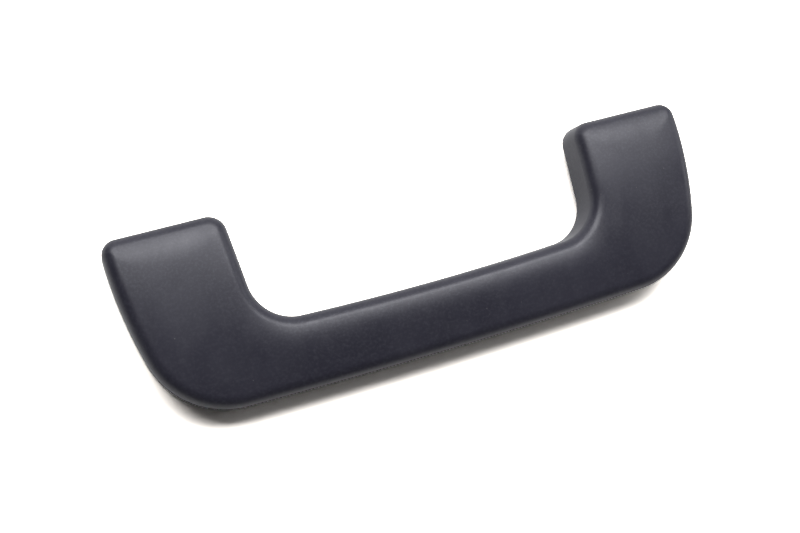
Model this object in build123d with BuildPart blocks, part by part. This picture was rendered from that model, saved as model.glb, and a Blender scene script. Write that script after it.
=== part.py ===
from build123d import *
import os
from math import asin, atan2, cos, degrees, radians, sin, sqrt, tan

# A folding roof grab handle, in millimetres, as it lies with its front face up.
# +X runs along the grip, +Y towards the hinged side, +Z away from the roof panel.
# The origin is midway between the two bolt holes, on the plane of the bracket feet.

# Outline of the handle, seen on its front face
half_length = 125.0
handle_height = 76.9
end_width = 48.0
end_lean = 4.5
grip_width = 30.6
grip_arch = 2.1
bottom_radius = 3000.0
shoulder_radius = 34.6
side_radius = 198.0
side_start_angle = 76.0
top_corner_radius = 6.4
inner_corner_radius = 18.2

# Section of the handle
front_bow = 1.8
front_edge_radius = 6.0
rim_radius = 2.0
depth_at_hinge = 18.5
depth_at_grip = 15.0
draft_angle = 3.0
cover_wall = 2.6
seat_gap = 0.15

# Hinge: where the pivot lies in the handle, how it rests and how far it opens
pivot_from_top = 11.0
pivot_from_front = 9.2
rest_tilt = 7.0
open_travel = 96.0

# Inner half of the handle
back_plate = 2.4
skirt_height = 7.0
skirt_wall = 1.6
rib_thickness = 1.4
joint_depth = 9.0
crown_length = 122.0
crown_width = 20.0
crown_height = 2.0
crown_corner_radius = 8.0
crown_edge_radius = 1.8
pocket_wall = 2.4
pocket_wall_depth = 4.6
pocket_from_bottom = 25.0
pocket_corner_radius = 10.0
pocket_edge_chamfer = 0.6
ear_length = 3.8
ear_radius = 6.0

# Screws that join the two halves
screw_count = 6
screw_from_end = 32.5
screw_seat_depth = 13.3
screw_head_radius = 3.0
screw_head_height = 1.9
screw_shank_radius = 1.45
screw_tip_room = 0.4
drive_radius = 1.3
drive_depth = 1.1
pilot_clearance = 0.05
screw_hole_clearance = 0.2
head_clearance = 0.2
back_boss_radius = 4.8
cover_boss_radius = 3.6

# Brackets
bolt_hole_radius = 3.3
bracket_from_end = 25.0
bracket_width = 30.4
side_gap = 0.4
foot_width = 23.2
foot_thickness = 4.0
foot_room = 3.4
bolt_from_foot_end = 7.5
foot_corner_radius = 5.0
foot_edge_radius = 0.8
neck_near = 16.0
neck_far = 22.0
arm_top = 1.5
arm_bottom = 5.5
knuckle_radius = 6.4
knuckle_length = 6.0
knuckle_gap_reach = 6.5
neck_outer_radius = 4.0
neck_inner_radius = 2.5
neck_window_width = 12.0
neck_window_height = 3.0
key_width = 5.0
key_reach = 3.4
key_height = 3.0

# Pins, bushes and the running fits on the pivot
pin_radius = 2.5
pin_head_radius = 3.6
pin_head_length = 1.4
pin_tip_chamfer = 0.5
press_clearance = 0.02
running_clearance = 0.05
bush_wall = 1.0
bush_flange_radius = 5.0
bush_flange_length = 0.8

# Return spring and its sleeve
sleeve_wall = 1.2
sleeve_clearance = 0.08
wire_radius = 0.65
coil_radius = 4.9
coil_full_turns = 6
coil_pitch = 1.6
moving_leg_reach = 5.0
leg_clearance = 0.1
leg_tip_height = 0.8

# Rotary damper
damper_radius = 6.0
damper_start_room = 2.3
damper_end_room = 0.7
damper_wall = 1.3
damper_cap_length = 1.6
rotor_hub_radius = 3.2
rotor_clearance = 0.36
rotor_vane_thickness = 1.2
rotor_vane_count = 4
rotor_vane_room = 0.74
seal_radius = 0.6
key_clearance = 0.1

# Rubber stops
stop_width = 14.0
closed_stop_radius = 2.3
open_stop_radius = 1.8
stop_gap = 0.3
closed_stop_reach = 18.5
open_stop_depth = 17.0

# Bolt covers
cap_wall = 1.6
cap_top = 11.5
cap_length = 14.4
cap_gap = 0.15
cap_edge_radius = 1.5
clip_length = 6.0
clip_foot = 0.6
pry_width = 6.0
pry_depth = 0.9
pry_height = 1.2

# Values that follow from the sizes above
draft_slope = tan(radians(draft_angle))
end_inner_x = half_length - end_width
grip_top_y = grip_width - handle_height
rim_slope = degrees(atan2(depth_at_hinge - depth_at_grip, handle_height))
bow_radius = (handle_height**2 / 4 + front_bow**2) / (2 * front_bow)
grip_middle_y = grip_width / 2 - handle_height
crown_low_y = grip_middle_y - crown_width / 2
bracket_x = half_length - bracket_from_end
pocket_end = handle_height - pocket_from_bottom
foot_reach = pocket_end - pivot_from_top - foot_room
bolt_to_pivot = foot_reach - bolt_from_foot_end
screw_spacing = 2 * (half_length - screw_from_end) / (screw_count - 1)
screw_length = screw_seat_depth - cover_wall - front_bow - screw_tip_room
flange_to_flange = bracket_width - 2 * knuckle_length - 2 * bush_flange_length
damper_length = flange_to_flange - damper_start_room - damper_end_room - damper_cap_length

# Pivot height: the round lower edge of the crown just touches the plane of the feet
touch_y = (crown_low_y + crown_edge_radius) * cos(radians(rim_slope))
touch_y -= (crown_height - crown_edge_radius) * sin(radians(rim_slope))
touch_z = -depth_at_hinge - (crown_low_y + crown_edge_radius) * sin(radians(rim_slope))
touch_z -= (crown_height - crown_edge_radius) * cos(radians(rim_slope))
axis_y = bolt_to_pivot
axis_z = (
    crown_edge_radius
    - (pivot_from_top + touch_y) * sin(radians(rest_tilt))
    - (pivot_from_front + touch_z) * cos(radians(rest_tilt))
)


def tilted_plane(tilt):
    """Plane of the handle at a tilt: x along the grip, y to the hinged edge, z out of the front."""
    up_slope = Vector(0, cos(radians(tilt)), sin(radians(tilt)))
    outward = Vector(0, -sin(radians(tilt)), cos(radians(tilt)))
    origin = Vector(0, axis_y, axis_z) + up_slope * pivot_from_top + outward * pivot_from_front
    return Plane(origin=origin, x_dir=(1, 0, 0), z_dir=outward)


def side_plane(plane):
    """Plane across the handle, whose x and y are the handle's own y and z."""
    return Plane(origin=plane.origin, x_dir=plane.y_dir, z_dir=plane.x_dir)


handle = tilted_plane(rest_tilt)
handle_side = side_plane(handle)
open_side = side_plane(tilted_plane(rest_tilt - open_travel))
handle_out = Axis(handle.origin, handle.z_dir)
rim = Plane(
    origin=handle.from_local_coords((0, 0, -depth_at_hinge)),
    x_dir=(1, 0, 0),
    z_dir=handle.y_dir * sin(radians(rim_slope)) + handle.z_dir * cos(radians(rim_slope)),
)
rim_out = Axis(rim.origin, rim.z_dir)
bracket_side = Plane.YZ.offset(bracket_x)
pivot_side = Plane(origin=(bracket_x, axis_y, axis_z), x_dir=(0, 1, 0), z_dir=(1, 0, 0))


def front_height(y, inset):
    """Height of the bowed front, or of a surface that lies inset below it, at y."""
    radius = bow_radius - inset
    return front_bow - bow_radius + sqrt(radius**2 - (y + handle_height / 2) ** 2)


def u_outline(grow):
    """Outline of the U at the level where the front rounding starts, grown by an offset."""
    overrun = 20.0
    side_turn = 8.0
    reach = half_length - side_radius - (shoulder_radius - side_radius) * sin(radians(side_start_angle))
    bottom_angle = degrees(asin(reach / (bottom_radius - shoulder_radius)))
    lean = tan(radians(end_lean))
    with BuildSketch() as outline:
        with BuildLine():
            bottom = JernArc((0, -handle_height), (1, 0), bottom_radius, bottom_angle)
            shoulder = JernArc(bottom @ 1, bottom % 1, shoulder_radius, side_start_angle - bottom_angle)
            side = JernArc(shoulder @ 1, shoulder % 1, side_radius, 90 - side_start_angle + side_turn)
            above = Line(side @ 1, (end_inner_x + overrun * lean, overrun))
            inner = Line(above @ 1, (end_inner_x + grip_top_y * lean, grip_top_y))
            middle = (inner @ 1).X / 2
            grip_top = ThreePointArc(
                inner @ 1,
                (middle, grip_top_y - grip_arch * 3 / 4),
                (0, grip_top_y - grip_arch),
            )
            Line(grip_top @ 1, bottom @ 0)
        make_face()
        with Locations((bracket_x, overrun)):
            Rectangle(2 * end_width, 2 * overrun, mode=Mode.SUBTRACT)
        fillet(outline.vertices().group_by(Axis.Y)[-1], top_corner_radius)
        fillet(outline.vertices().sort_by_distance(inner @ 1)[0], inner_corner_radius)
        mirror(about=Plane.YZ)
        offset(amount=grow, kind=Kind.INTERSECTION)
    return outline.sketch


def u_form(inset, rounded=True):
    """The drafted, bowed form of the handle, inset from its outer skin and open-ended at the back."""
    above = front_bow + 1.0
    below = depth_at_hinge + 4.0
    front_outline = u_outline(-inset - (above + front_edge_radius) * draft_slope)
    back_outline = u_outline(-inset + (below - front_edge_radius) * draft_slope)
    margin = 5.0
    lower_y = -handle_height - margin
    with BuildPart() as form:
        with BuildSketch(handle.offset(above)):
            add(front_outline)
        with BuildSketch(handle.offset(-below)):
            add(back_outline)
        loft(ruled=True)
        with BuildSketch(handle_side):
            with BuildLine():
                ThreePointArc(
                    (margin, front_height(margin, inset)),
                    (-handle_height / 2, front_bow - inset),
                    (lower_y, front_height(lower_y, inset)),
                )
                Polyline(
                    (lower_y, front_height(lower_y, inset)),
                    (lower_y, -below - 1),
                    (margin, -below - 1),
                    (margin, front_height(margin, inset)),
                )
            make_face()
        extrude(amount=half_length + margin, both=True, mode=Mode.INTERSECT)
        if rounded:
            fillet(form.faces().sort_by(handle_out)[-1].edges(), front_edge_radius - inset)
    return form.part


def back_band(thickness):
    """Slab of a thickness that lies along the rim, on its inner side."""
    with BuildPart() as band:
        with BuildSketch(rim):
            with Locations((0, -handle_height / 2)):
                Rectangle(3 * half_length, 2 * handle_height)
        extrude(amount=thickness)
    return band.part


cavity_form = u_form(cover_wall)
seat_form = u_form(cover_wall + seat_gap)
skirt_form = u_form(cover_wall + seat_gap + skirt_wall, rounded=False)
screw_places = [((i - (screw_count - 1) / 2) * screw_spacing, grip_middle_y) for i in range(screw_count)]
pocket_half_width = bracket_width / 2 + side_gap
pin_start = pocket_half_width + ear_length

# Front shell of the handle, hollow behind, with a boss for each screw
with BuildPart() as cavity:
    add(cavity_form)
    with BuildSketch(handle.offset(-joint_depth)):
        with Locations(screw_places):
            Circle(cover_boss_radius)
    extrude(amount=joint_depth + front_bow, mode=Mode.SUBTRACT)

with BuildPart() as grip_cover:
    add(u_form(0))
    split(bisect_by=rim, keep=Keep.TOP)
    fillet(grip_cover.faces().sort_by(rim_out)[0].edges(), rim_radius)
    add(cavity.part, mode=Mode.SUBTRACT)
    with BuildSketch(handle.offset(-joint_depth)):
        with Locations(screw_places):
            Circle(screw_shank_radius + pilot_clearance)
    extrude(amount=joint_depth - cover_wall - front_bow, mode=Mode.SUBTRACT)

# Hollow inside the skirt of the inner half
with BuildPart() as skirt_space:
    add(skirt_form)
    add(back_band(skirt_height + back_plate), mode=Mode.INTERSECT)
    add(back_band(back_plate), mode=Mode.SUBTRACT)

pocket_wall_reach = pocket_half_width + pocket_wall / 2
pocket_walls = [side * (bracket_x + edge * pocket_wall_reach) for side in (-1, 1) for edge in (-1, 1)]
rib_places = [(i / 2 - (screw_count - 1) / 2) * screw_spacing for i in range(2 * screw_count - 1)]

# Raised crown that fills the palm behind the grip
with BuildPart() as crown:
    with BuildSketch(rim):
        with Locations((0, grip_middle_y)):
            RectangleRounded(crown_length, crown_width, crown_corner_radius)
    extrude(amount=-crown_height)
    fillet(crown.faces().sort_by(rim_out)[0].edges(), crown_edge_radius)

# Inner half: plate and skirt along the rim, pocket walls with ears, ribs and screw bosses
with BuildPart() as grip_back:
    add(back_band(skirt_height))
    add(skirt_space.part, mode=Mode.SUBTRACT)
    with BuildSketch(handle.offset(-depth_at_hinge)):
        with Locations([(x, -pocket_end / 2) for x in pocket_walls]):
            Rectangle(pocket_wall, pocket_end + 2 * pocket_wall)
        with Locations([(side * bracket_x, -pocket_end - pocket_wall / 2) for side in (-1, 1)]):
            Rectangle(2 * pocket_half_width + 2 * pocket_wall, pocket_wall)
    extrude(amount=depth_at_hinge - pocket_wall_depth)
    with BuildSketch(handle.offset(-depth_at_hinge)):
        with Locations([(x, grip_middle_y) for x in rib_places]):
            Rectangle(rib_thickness, 2 * grip_width)
        with Locations((0, grip_middle_y)):
            Rectangle(2 * screw_places[-1][0], rib_thickness)
        with Locations(screw_places):
            Circle(back_boss_radius)
    extrude(amount=depth_at_hinge - joint_depth)
    # Everything is trimmed to the inside of the cover and to the rim
    add(seat_form, mode=Mode.INTERSECT)
    split(bisect_by=rim, keep=Keep.TOP)
    add(crown.part)
    # Windows through which the brackets reach into the pockets
    with BuildSketch(handle.offset(-depth_at_hinge - crown_height)):
        with Locations([(side * bracket_x, 0) for side in (-1, 1)]):
            RectangleRounded(2 * pocket_half_width, 2 * pocket_end, pocket_corner_radius)
    extrude(amount=depth_at_hinge + crown_height, mode=Mode.SUBTRACT)
    with BuildSketch(rim):
        with Locations([(side * bracket_x, 0) for side in (-1, 1)]):
            RectangleRounded(
                2 * (pocket_half_width + pocket_edge_chamfer),
                2 * (pocket_end + pocket_edge_chamfer),
                pocket_corner_radius + pocket_edge_chamfer,
            )
    extrude(amount=pocket_edge_chamfer, taper=45, mode=Mode.SUBTRACT)
    # Ears that hold the pins
    for wall_x in pocket_walls:
        outward = 1 if abs(wall_x) > bracket_x else -1
        ear_start = bracket_x + outward * pocket_half_width
        ear_end = ear_start + outward * ear_length
        mirror_side = 1 if wall_x > 0 else -1
        with BuildSketch(handle_side.offset(mirror_side * (ear_start + ear_end) / 2)):
            with Locations((-pivot_from_top, -pivot_from_front)):
                Circle(ear_radius)
        extrude(amount=ear_length / 2, both=True)
    with BuildSketch(handle_side):
        with Locations((-pivot_from_top, -pivot_from_front)):
            Circle(pin_radius + press_clearance)
    extrude(amount=half_length, both=True, mode=Mode.SUBTRACT)
    for side in (-1, 1):
        with BuildSketch(handle_side.offset(side * (bracket_x - pin_start))):
            with Locations((-pivot_from_top, -pivot_from_front)):
                Circle(pin_head_radius + head_clearance)
        extrude(amount=-side * (pin_head_length + head_clearance), mode=Mode.SUBTRACT)
    # Sunk screw seats and their through holes
    with BuildSketch(handle.offset(-screw_seat_depth)):
        with Locations(screw_places):
            Circle(screw_head_radius + head_clearance)
    extrude(amount=-depth_at_hinge, mode=Mode.SUBTRACT)
    with BuildSketch(handle.offset(-depth_at_hinge)):
        with Locations(screw_places):
            Circle(screw_shank_radius + screw_hole_clearance)
    extrude(amount=depth_at_hinge, mode=Mode.SUBTRACT)

# Pan-head screws, driven from behind into the bosses of the cover
with BuildPart() as grip_screws:
    with BuildSketch(handle.offset(-screw_seat_depth)):
        with Locations(screw_places):
            Circle(screw_head_radius)
    extrude(amount=-screw_head_height)
    fillet(grip_screws.faces().group_by(handle_out)[0].edges(), screw_head_height / 3)
    with BuildSketch(handle.offset(-screw_seat_depth - screw_head_height)):
        with Locations(screw_places):
            RegularPolygon(drive_radius, 6)
    extrude(amount=drive_depth, mode=Mode.SUBTRACT)
    with BuildSketch(handle.offset(-screw_seat_depth)):
        with Locations(screw_places):
            Circle(screw_shank_radius)
    extrude(amount=screw_length)
    chamfer(grip_screws.faces().group_by(handle_out)[-1].edges(), screw_shank_radius / 2)

# Right bracket: foot, goose neck, arm and two knuckles
arm_over = axis_z + arm_top
arm_under = axis_z - arm_bottom
with BuildPart() as bracket_right:
    with BuildSketch(bracket_side):
        with BuildLine():
            Polyline(
                (axis_y - neck_far, 0),
                (axis_y - neck_near, 0),
                (axis_y - neck_near, arm_under),
                (axis_y, arm_under),
                (axis_y, arm_over),
                (axis_y - neck_far, arm_over),
                (axis_y - neck_far, 0),
            )
        make_face()
    extrude(amount=bracket_width / 2, both=True)
    outer_bend = (bracket_x, axis_y - neck_far, arm_over)
    fillet(bracket_right.edges().filter_by(Axis.X).sort_by_distance(outer_bend)[0], neck_outer_radius)
    inner_bend = (bracket_x, axis_y - neck_near, arm_under)
    fillet(bracket_right.edges().filter_by(Axis.X).sort_by_distance(inner_bend)[0], neck_inner_radius)
    with BuildSketch(pivot_side):
        Circle(knuckle_radius)
    extrude(amount=bracket_width / 2, both=True)
    # Foot with rounded corners and a rounded upper edge, as thick as the bolt seat
    with BuildSketch(Plane.XY):
        with Locations((bracket_x, axis_y - (foot_reach + neck_near) / 2)):
            RectangleRounded(foot_width, foot_reach - neck_near, foot_corner_radius)
        with Locations((bracket_x, axis_y - (neck_far + neck_near) / 2)):
            Rectangle(bracket_width, neck_far - neck_near)
    extrude(amount=foot_thickness)
    foot_end = (bracket_x, axis_y - foot_reach, foot_thickness)
    fillet(bracket_right.edges().filter_by(Axis.X).sort_by_distance(foot_end)[0], foot_edge_radius)
    # Room between the knuckles for the spring or the damper
    with BuildSketch(pivot_side):
        with Locations((2 * knuckle_radius - knuckle_gap_reach, 0)):
            Rectangle(4 * knuckle_radius, 4 * knuckle_radius)
    extrude(amount=bracket_width / 2 - knuckle_length, both=True, mode=Mode.SUBTRACT)
    # Slot in the arm that keys the damper
    with BuildSketch(pivot_side):
        with Locations((-knuckle_gap_reach - key_reach / 2, arm_top - key_height / 2)):
            Rectangle(key_reach, key_height)
    extrude(amount=key_width / 2 + key_clearance, both=True, mode=Mode.SUBTRACT)
    # Bores for the bushes and the bolt hole
    with BuildSketch(pivot_side):
        Circle(pin_radius + running_clearance + bush_wall + press_clearance)
    extrude(amount=bracket_width, both=True, mode=Mode.SUBTRACT)
    with BuildSketch(Plane.XY):
        with Locations((bracket_x, 0)):
            Circle(bolt_hole_radius)
    extrude(amount=foot_thickness, mode=Mode.SUBTRACT)
    # Window that lightens the neck
    with BuildSketch(Plane.XZ.offset(-axis_y)):
        with Locations((bracket_x, (foot_thickness + arm_under) / 2)):
            SlotOverall(neck_window_width, neck_window_height)
    extrude(amount=foot_reach, mode=Mode.SUBTRACT)


def knuckle_bushes(side):
    """Flanged bushes of one bracket: the inner one and the outer one, flanges facing each other."""
    bushes = []
    for end in (-1, 1):
        seat_x = side * bracket_x + end * (bracket_width / 2 - knuckle_length)
        with BuildPart() as bush:
            with BuildSketch(pivot_side.offset(seat_x - bracket_x)):
                Circle(pin_radius + running_clearance + bush_wall)
            extrude(amount=end * knuckle_length)
            with BuildSketch(pivot_side.offset(seat_x - bracket_x)):
                Circle(bush_flange_radius)
            extrude(amount=-end * bush_flange_length)
            with BuildSketch(pivot_side.offset(seat_x - bracket_x)):
                Circle(pin_radius + running_clearance)
            extrude(amount=2 * knuckle_length, both=True, mode=Mode.SUBTRACT)
        bushes.append(bush.part)
    return bushes if side > 0 else bushes[::-1]


# Headed hinge pin, its head behind the inner ear
with BuildPart() as pivot_pin_right:
    with BuildSketch(pivot_side.offset(-pin_start)):
        Circle(pin_radius)
    extrude(amount=2 * pin_start)
    chamfer(pivot_pin_right.faces().sort_by(Axis.X)[-1].edges(), pin_tip_chamfer)
    with BuildSketch(pivot_side.offset(-pin_start)):
        Circle(pin_head_radius)
    extrude(amount=-pin_head_length)
    fillet(pivot_pin_right.faces().sort_by(Axis.X)[0].edges(), pin_head_length / 3)

# Spring sleeve between the bush flanges of the left bracket
left_side = pivot_side.offset(-2 * bracket_x)
with BuildPart() as spring_sleeve:
    with BuildSketch(left_side):
        Circle(pin_radius + sleeve_clearance + sleeve_wall)
        Circle(pin_radius + sleeve_clearance, mode=Mode.SUBTRACT)
    extrude(amount=flange_to_flange / 2 - press_clearance, both=True)

# Torsion spring: one leg leans on the left bracket's arm, the other pushes the cover's front wall
moving_tip = handle_side.from_local_coords((
    moving_leg_reach - pivot_from_top,
    front_height(moving_leg_reach - pivot_from_top, cover_wall + stop_gap + wire_radius),
)) - Vector(0, axis_y, axis_z)
fixed_tip = Vector(0, leg_clearance + wire_radius - knuckle_gap_reach, leg_tip_height - arm_bottom)


def leg_length(tip):
    """Length of the straight leg from the coil to a tip given from the pivot."""
    return sqrt(tip.length**2 - coil_radius**2)


def tip_turn(tip, sense):
    """Angle on the coil, from +Y towards +Z, where the leg to a tip leaves it."""
    return degrees(atan2(tip.Z, tip.Y)) % 360 + sense * degrees(atan2(leg_length(tip), coil_radius))


coil_begin = tip_turn(moving_tip, 1)
coil_turns = coil_full_turns + (tip_turn(fixed_tip, -1) - coil_begin) / 360
coil_length = coil_turns * coil_pitch
coil_plane = Plane(
    origin=(-bracket_x - coil_length / 2, axis_y, axis_z),
    x_dir=(0, cos(radians(coil_begin)), sin(radians(coil_begin))),
    z_dir=(1, 0, 0),
)
with BuildPart() as coil_spring:
    with BuildLine() as wire:
        coil = Helix(pitch=coil_pitch, height=coil_length, radius=coil_radius)
        moving_leg = Line(coil @ 0, coil @ 0 - (coil % 0) * leg_length(moving_tip))
        fixed_leg = Line(coil @ 1, coil @ 1 + (coil % 1) * leg_length(fixed_tip))
    with BuildSketch(Plane(origin=moving_leg @ 1, z_dir=coil % 0)):
        Circle(wire_radius)
    sweep(path=wire.wires()[0])
with BuildPart() as return_spring:
    add(coil_plane * coil_spring.part)

# Rotary damper of the right bracket: housing keyed into the arm
damper_start = damper_start_room - flange_to_flange / 2
with BuildPart() as damper_housing:
    with BuildSketch(pivot_side.offset(damper_start)):
        Circle(damper_radius)
    extrude(amount=damper_length)
    with BuildSketch(pivot_side.offset(damper_start + damper_wall)):
        Circle(damper_radius - damper_wall)
    extrude(amount=damper_length, mode=Mode.SUBTRACT)
    with BuildSketch(pivot_side):
        with Locations((-knuckle_gap_reach - key_reach / 2, arm_top - key_height / 2)):
            Rectangle(key_reach - 2 * key_clearance, key_height - 2 * key_clearance)
        with Locations((-damper_radius + damper_wall / 2 - key_reach / 2, arm_top - key_height / 2)):
            Rectangle(key_reach, key_height - 2 * key_clearance)
    extrude(amount=key_width / 2, both=True)
    with BuildSketch(pivot_side.offset(damper_start)):
        Circle(pin_radius + sleeve_clearance)
    extrude(amount=damper_wall, mode=Mode.SUBTRACT)
    with BuildSketch(pivot_side.offset(damper_start + damper_wall)):
        Circle(damper_radius - damper_wall)
    extrude(amount=damper_length, mode=Mode.SUBTRACT)

rotor_start = damper_start + damper_wall + rotor_clearance
housing_end = damper_start + damper_length
rotor_vane_length = housing_end - 2 * seal_radius - rotor_vane_room - rotor_start
with BuildPart() as damper_rotor:
    with BuildSketch(pivot_side.offset(rotor_start)):
        Circle(rotor_hub_radius)
    extrude(amount=housing_end + damper_cap_length + rotor_clearance - rotor_start)
    with BuildSketch(pivot_side.offset(rotor_start)):
        vane_reach = damper_radius - damper_wall - rotor_clearance
        with PolarLocations(0, rotor_vane_count):
            with Locations((vane_reach / 2, 0)):
                Rectangle(vane_reach, rotor_vane_thickness)
    extrude(amount=rotor_vane_length)
    with BuildSketch(pivot_side):
        Circle(pin_radius + press_clearance)
    extrude(amount=bracket_width, both=True, mode=Mode.SUBTRACT)

with BuildPart() as damper_cap:
    with BuildSketch(pivot_side.offset(housing_end)):
        Circle(damper_radius)
        Circle(rotor_hub_radius + running_clearance, mode=Mode.SUBTRACT)
    extrude(amount=damper_cap_length)
    outer_face = damper_cap.faces().sort_by(Axis.X)[-1]
    fillet(outer_face.edges().sort_by(SortBy.RADIUS)[-1], damper_cap_length / 3)

# Ring seal round the rotor's hub, just inside the cap
seal_middle = Vector(bracket_x + housing_end - seal_radius, axis_y, axis_z)
with BuildPart() as damper_seal:
    with BuildSketch(Plane(origin=seal_middle, x_dir=(0, 1, 0), z_dir=(0, 0, -1))):
        with Locations((rotor_hub_radius + running_clearance + seal_radius, 0)):
            Circle(seal_radius)
    revolve(axis=Axis(seal_middle, (1, 0, 0)))

# Rubber strips on the brackets: one under the closed front wall, one under the opened top wall
closed_y = handle_side.to_local_coords(Vector(0, axis_y - closed_stop_reach, axis_z)).X
closed_seat = handle_side.from_local_coords(
    (closed_y, front_height(closed_y, cover_wall + stop_gap + closed_stop_radius))
)
wall_y = (open_stop_depth - front_edge_radius) * draft_slope - cover_wall
wall_clear = open_stop_radius + stop_gap
open_seat = open_side.from_local_coords((
    wall_y - wall_clear * cos(radians(draft_angle)),
    -open_stop_depth - wall_clear * sin(radians(draft_angle)),
))


def stop_strip(seat, base_z, radius):
    """Rubber strip with a round nose at the seat and a flat foot at the height base_z."""
    with BuildPart() as strip:
        with BuildSketch(bracket_side):
            with Locations((seat.Y, seat.Z)):
                Circle(radius)
            with Locations((seat.Y, (seat.Z + base_z) / 2)):
                Rectangle(2 * radius, abs(seat.Z - base_z))
            with Locations((seat.Y, base_z + (4 if base_z > seat.Z else -4) * radius)):
                Rectangle(8 * radius, 8 * radius, mode=Mode.SUBTRACT)
        extrude(amount=stop_width / 2, both=True)
    return strip.part


closed_strip = stop_strip(closed_seat, arm_over, closed_stop_radius)
open_strip = stop_strip(open_seat, arm_under, open_stop_radius)

# Cover clipped over the bolt head, with a leg on each side of the foot
cap_low_y = bolt_to_pivot - foot_reach
cap_side = cap_gap + cap_wall
clip_reach = foot_width / 2 + cap_gap + cap_wall / 2
with BuildPart() as bolt_cover_right:
    with BuildSketch(Plane.XY.offset(foot_thickness)):
        with Locations((bracket_x, cap_low_y + cap_length / 2)):
            RectangleRounded(foot_width + 2 * cap_side, cap_length, foot_corner_radius + cap_side)
    extrude(amount=cap_top - foot_thickness)
    fillet(bolt_cover_right.faces().sort_by(Axis.Z)[-1].edges(), cap_edge_radius)
    with BuildSketch(Plane.XY.offset(foot_thickness)):
        with Locations((bracket_x, cap_low_y + cap_length / 2)):
            RectangleRounded(
                foot_width - cap_wall,
                cap_length - 2 * cap_wall,
                foot_corner_radius - cap_wall,
            )
    extrude(amount=cap_top - foot_thickness - cap_wall, mode=Mode.SUBTRACT)
    with BuildSketch(Plane.XY.offset(clip_foot)):
        with Locations([(bracket_x + side * clip_reach, cap_low_y + cap_length / 2) for side in (-1, 1)]):
            Rectangle(cap_wall, clip_length)
    extrude(amount=foot_thickness - clip_foot + cap_wall)
    # Notch for a flat blade, in the edge that faces away from the hinge
    with BuildSketch(Plane.XY.offset(foot_thickness)):
        with Locations((bracket_x, cap_low_y)):
            Rectangle(pry_width, 2 * pry_depth)
    extrude(amount=pry_height, mode=Mode.SUBTRACT)


def mirrored(part):
    """The left-hand twin of a right-hand piece."""
    with BuildPart() as twin:
        mirror(part, about=Plane.YZ)
    return twin.part


# Every piece under its own name; the pieces of the left bracket mirror those of the right one
right_bushes = knuckle_bushes(1)
pieces = {
    "grip_cover": grip_cover.part,
    "grip_back": grip_back.part,
    "grip_screws": grip_screws.part,
    "bracket_right": bracket_right.part,
    "bracket_left": mirrored(bracket_right.part),
    "bolt_cover_right": bolt_cover_right.part,
    "bolt_cover_left": mirrored(bolt_cover_right.part),
    "pivot_pin_right": pivot_pin_right.part,
    "pivot_pin_left": mirrored(pivot_pin_right.part),
    "bush_right_inner": right_bushes[0],
    "bush_right_outer": right_bushes[1],
    "bush_left_inner": mirrored(right_bushes[0]),
    "bush_left_outer": mirrored(right_bushes[1]),
    "spring_sleeve": spring_sleeve.part,
    "return_spring": return_spring.part,
    "damper_housing": damper_housing.part,
    "damper_rotor": damper_rotor.part,
    "damper_seal": damper_seal.part,
    "damper_cap": damper_cap.part,
    "closed_stop_right": closed_strip,
    "closed_stop_left": mirrored(closed_strip),
    "open_stop_right": open_strip,
    "open_stop_left": mirrored(open_strip),
}

os.makedirs("parts", exist_ok=True)
for name, piece in pieces.items():
    piece.label = name
    export_step(piece, f"parts/{name}.step")
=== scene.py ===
"""Looks of a folding roof grab handle.

They cover its soft-touch shell, inner half, hinge brackets, return spring, damper and stops, and the studio.
"""

from __future__ import annotations

import logging
import math
from dataclasses import dataclass
from enum import Enum

import bmesh
import bpy
import numpy as np
from mathutils import Matrix, Vector

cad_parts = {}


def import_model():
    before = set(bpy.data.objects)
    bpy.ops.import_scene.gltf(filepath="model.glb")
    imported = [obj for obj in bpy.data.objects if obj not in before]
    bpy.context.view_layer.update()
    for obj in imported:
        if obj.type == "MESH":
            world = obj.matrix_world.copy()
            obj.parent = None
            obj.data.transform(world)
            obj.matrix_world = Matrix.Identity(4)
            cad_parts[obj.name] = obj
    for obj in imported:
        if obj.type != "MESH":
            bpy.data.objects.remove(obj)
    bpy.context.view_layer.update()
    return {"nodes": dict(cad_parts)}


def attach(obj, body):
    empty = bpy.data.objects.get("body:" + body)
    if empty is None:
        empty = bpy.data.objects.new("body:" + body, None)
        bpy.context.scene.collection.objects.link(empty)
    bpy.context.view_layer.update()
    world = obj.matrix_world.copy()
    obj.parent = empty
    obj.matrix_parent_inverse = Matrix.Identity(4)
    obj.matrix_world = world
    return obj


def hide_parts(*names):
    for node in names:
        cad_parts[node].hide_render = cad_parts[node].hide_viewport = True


LOG = logging.getLogger("roof_handle")
MM = 0.001
MERGE = 1e-6
Triple = tuple[float, float, float]
Number = "float | Formula"


class Body(Enum):
    """The two bodies that the hinge joins."""

    BRACKETS = "brackets"
    HANDLE = "handle"


class Side(Enum):
    """The two ends of the handle, with the sign of their X."""

    LEFT = -1
    RIGHT = 1

    @property
    def word(self) -> str:
        """Name of the side as it stands in the names of the nodes."""
        return self.name.lower()


# Node trees


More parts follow.
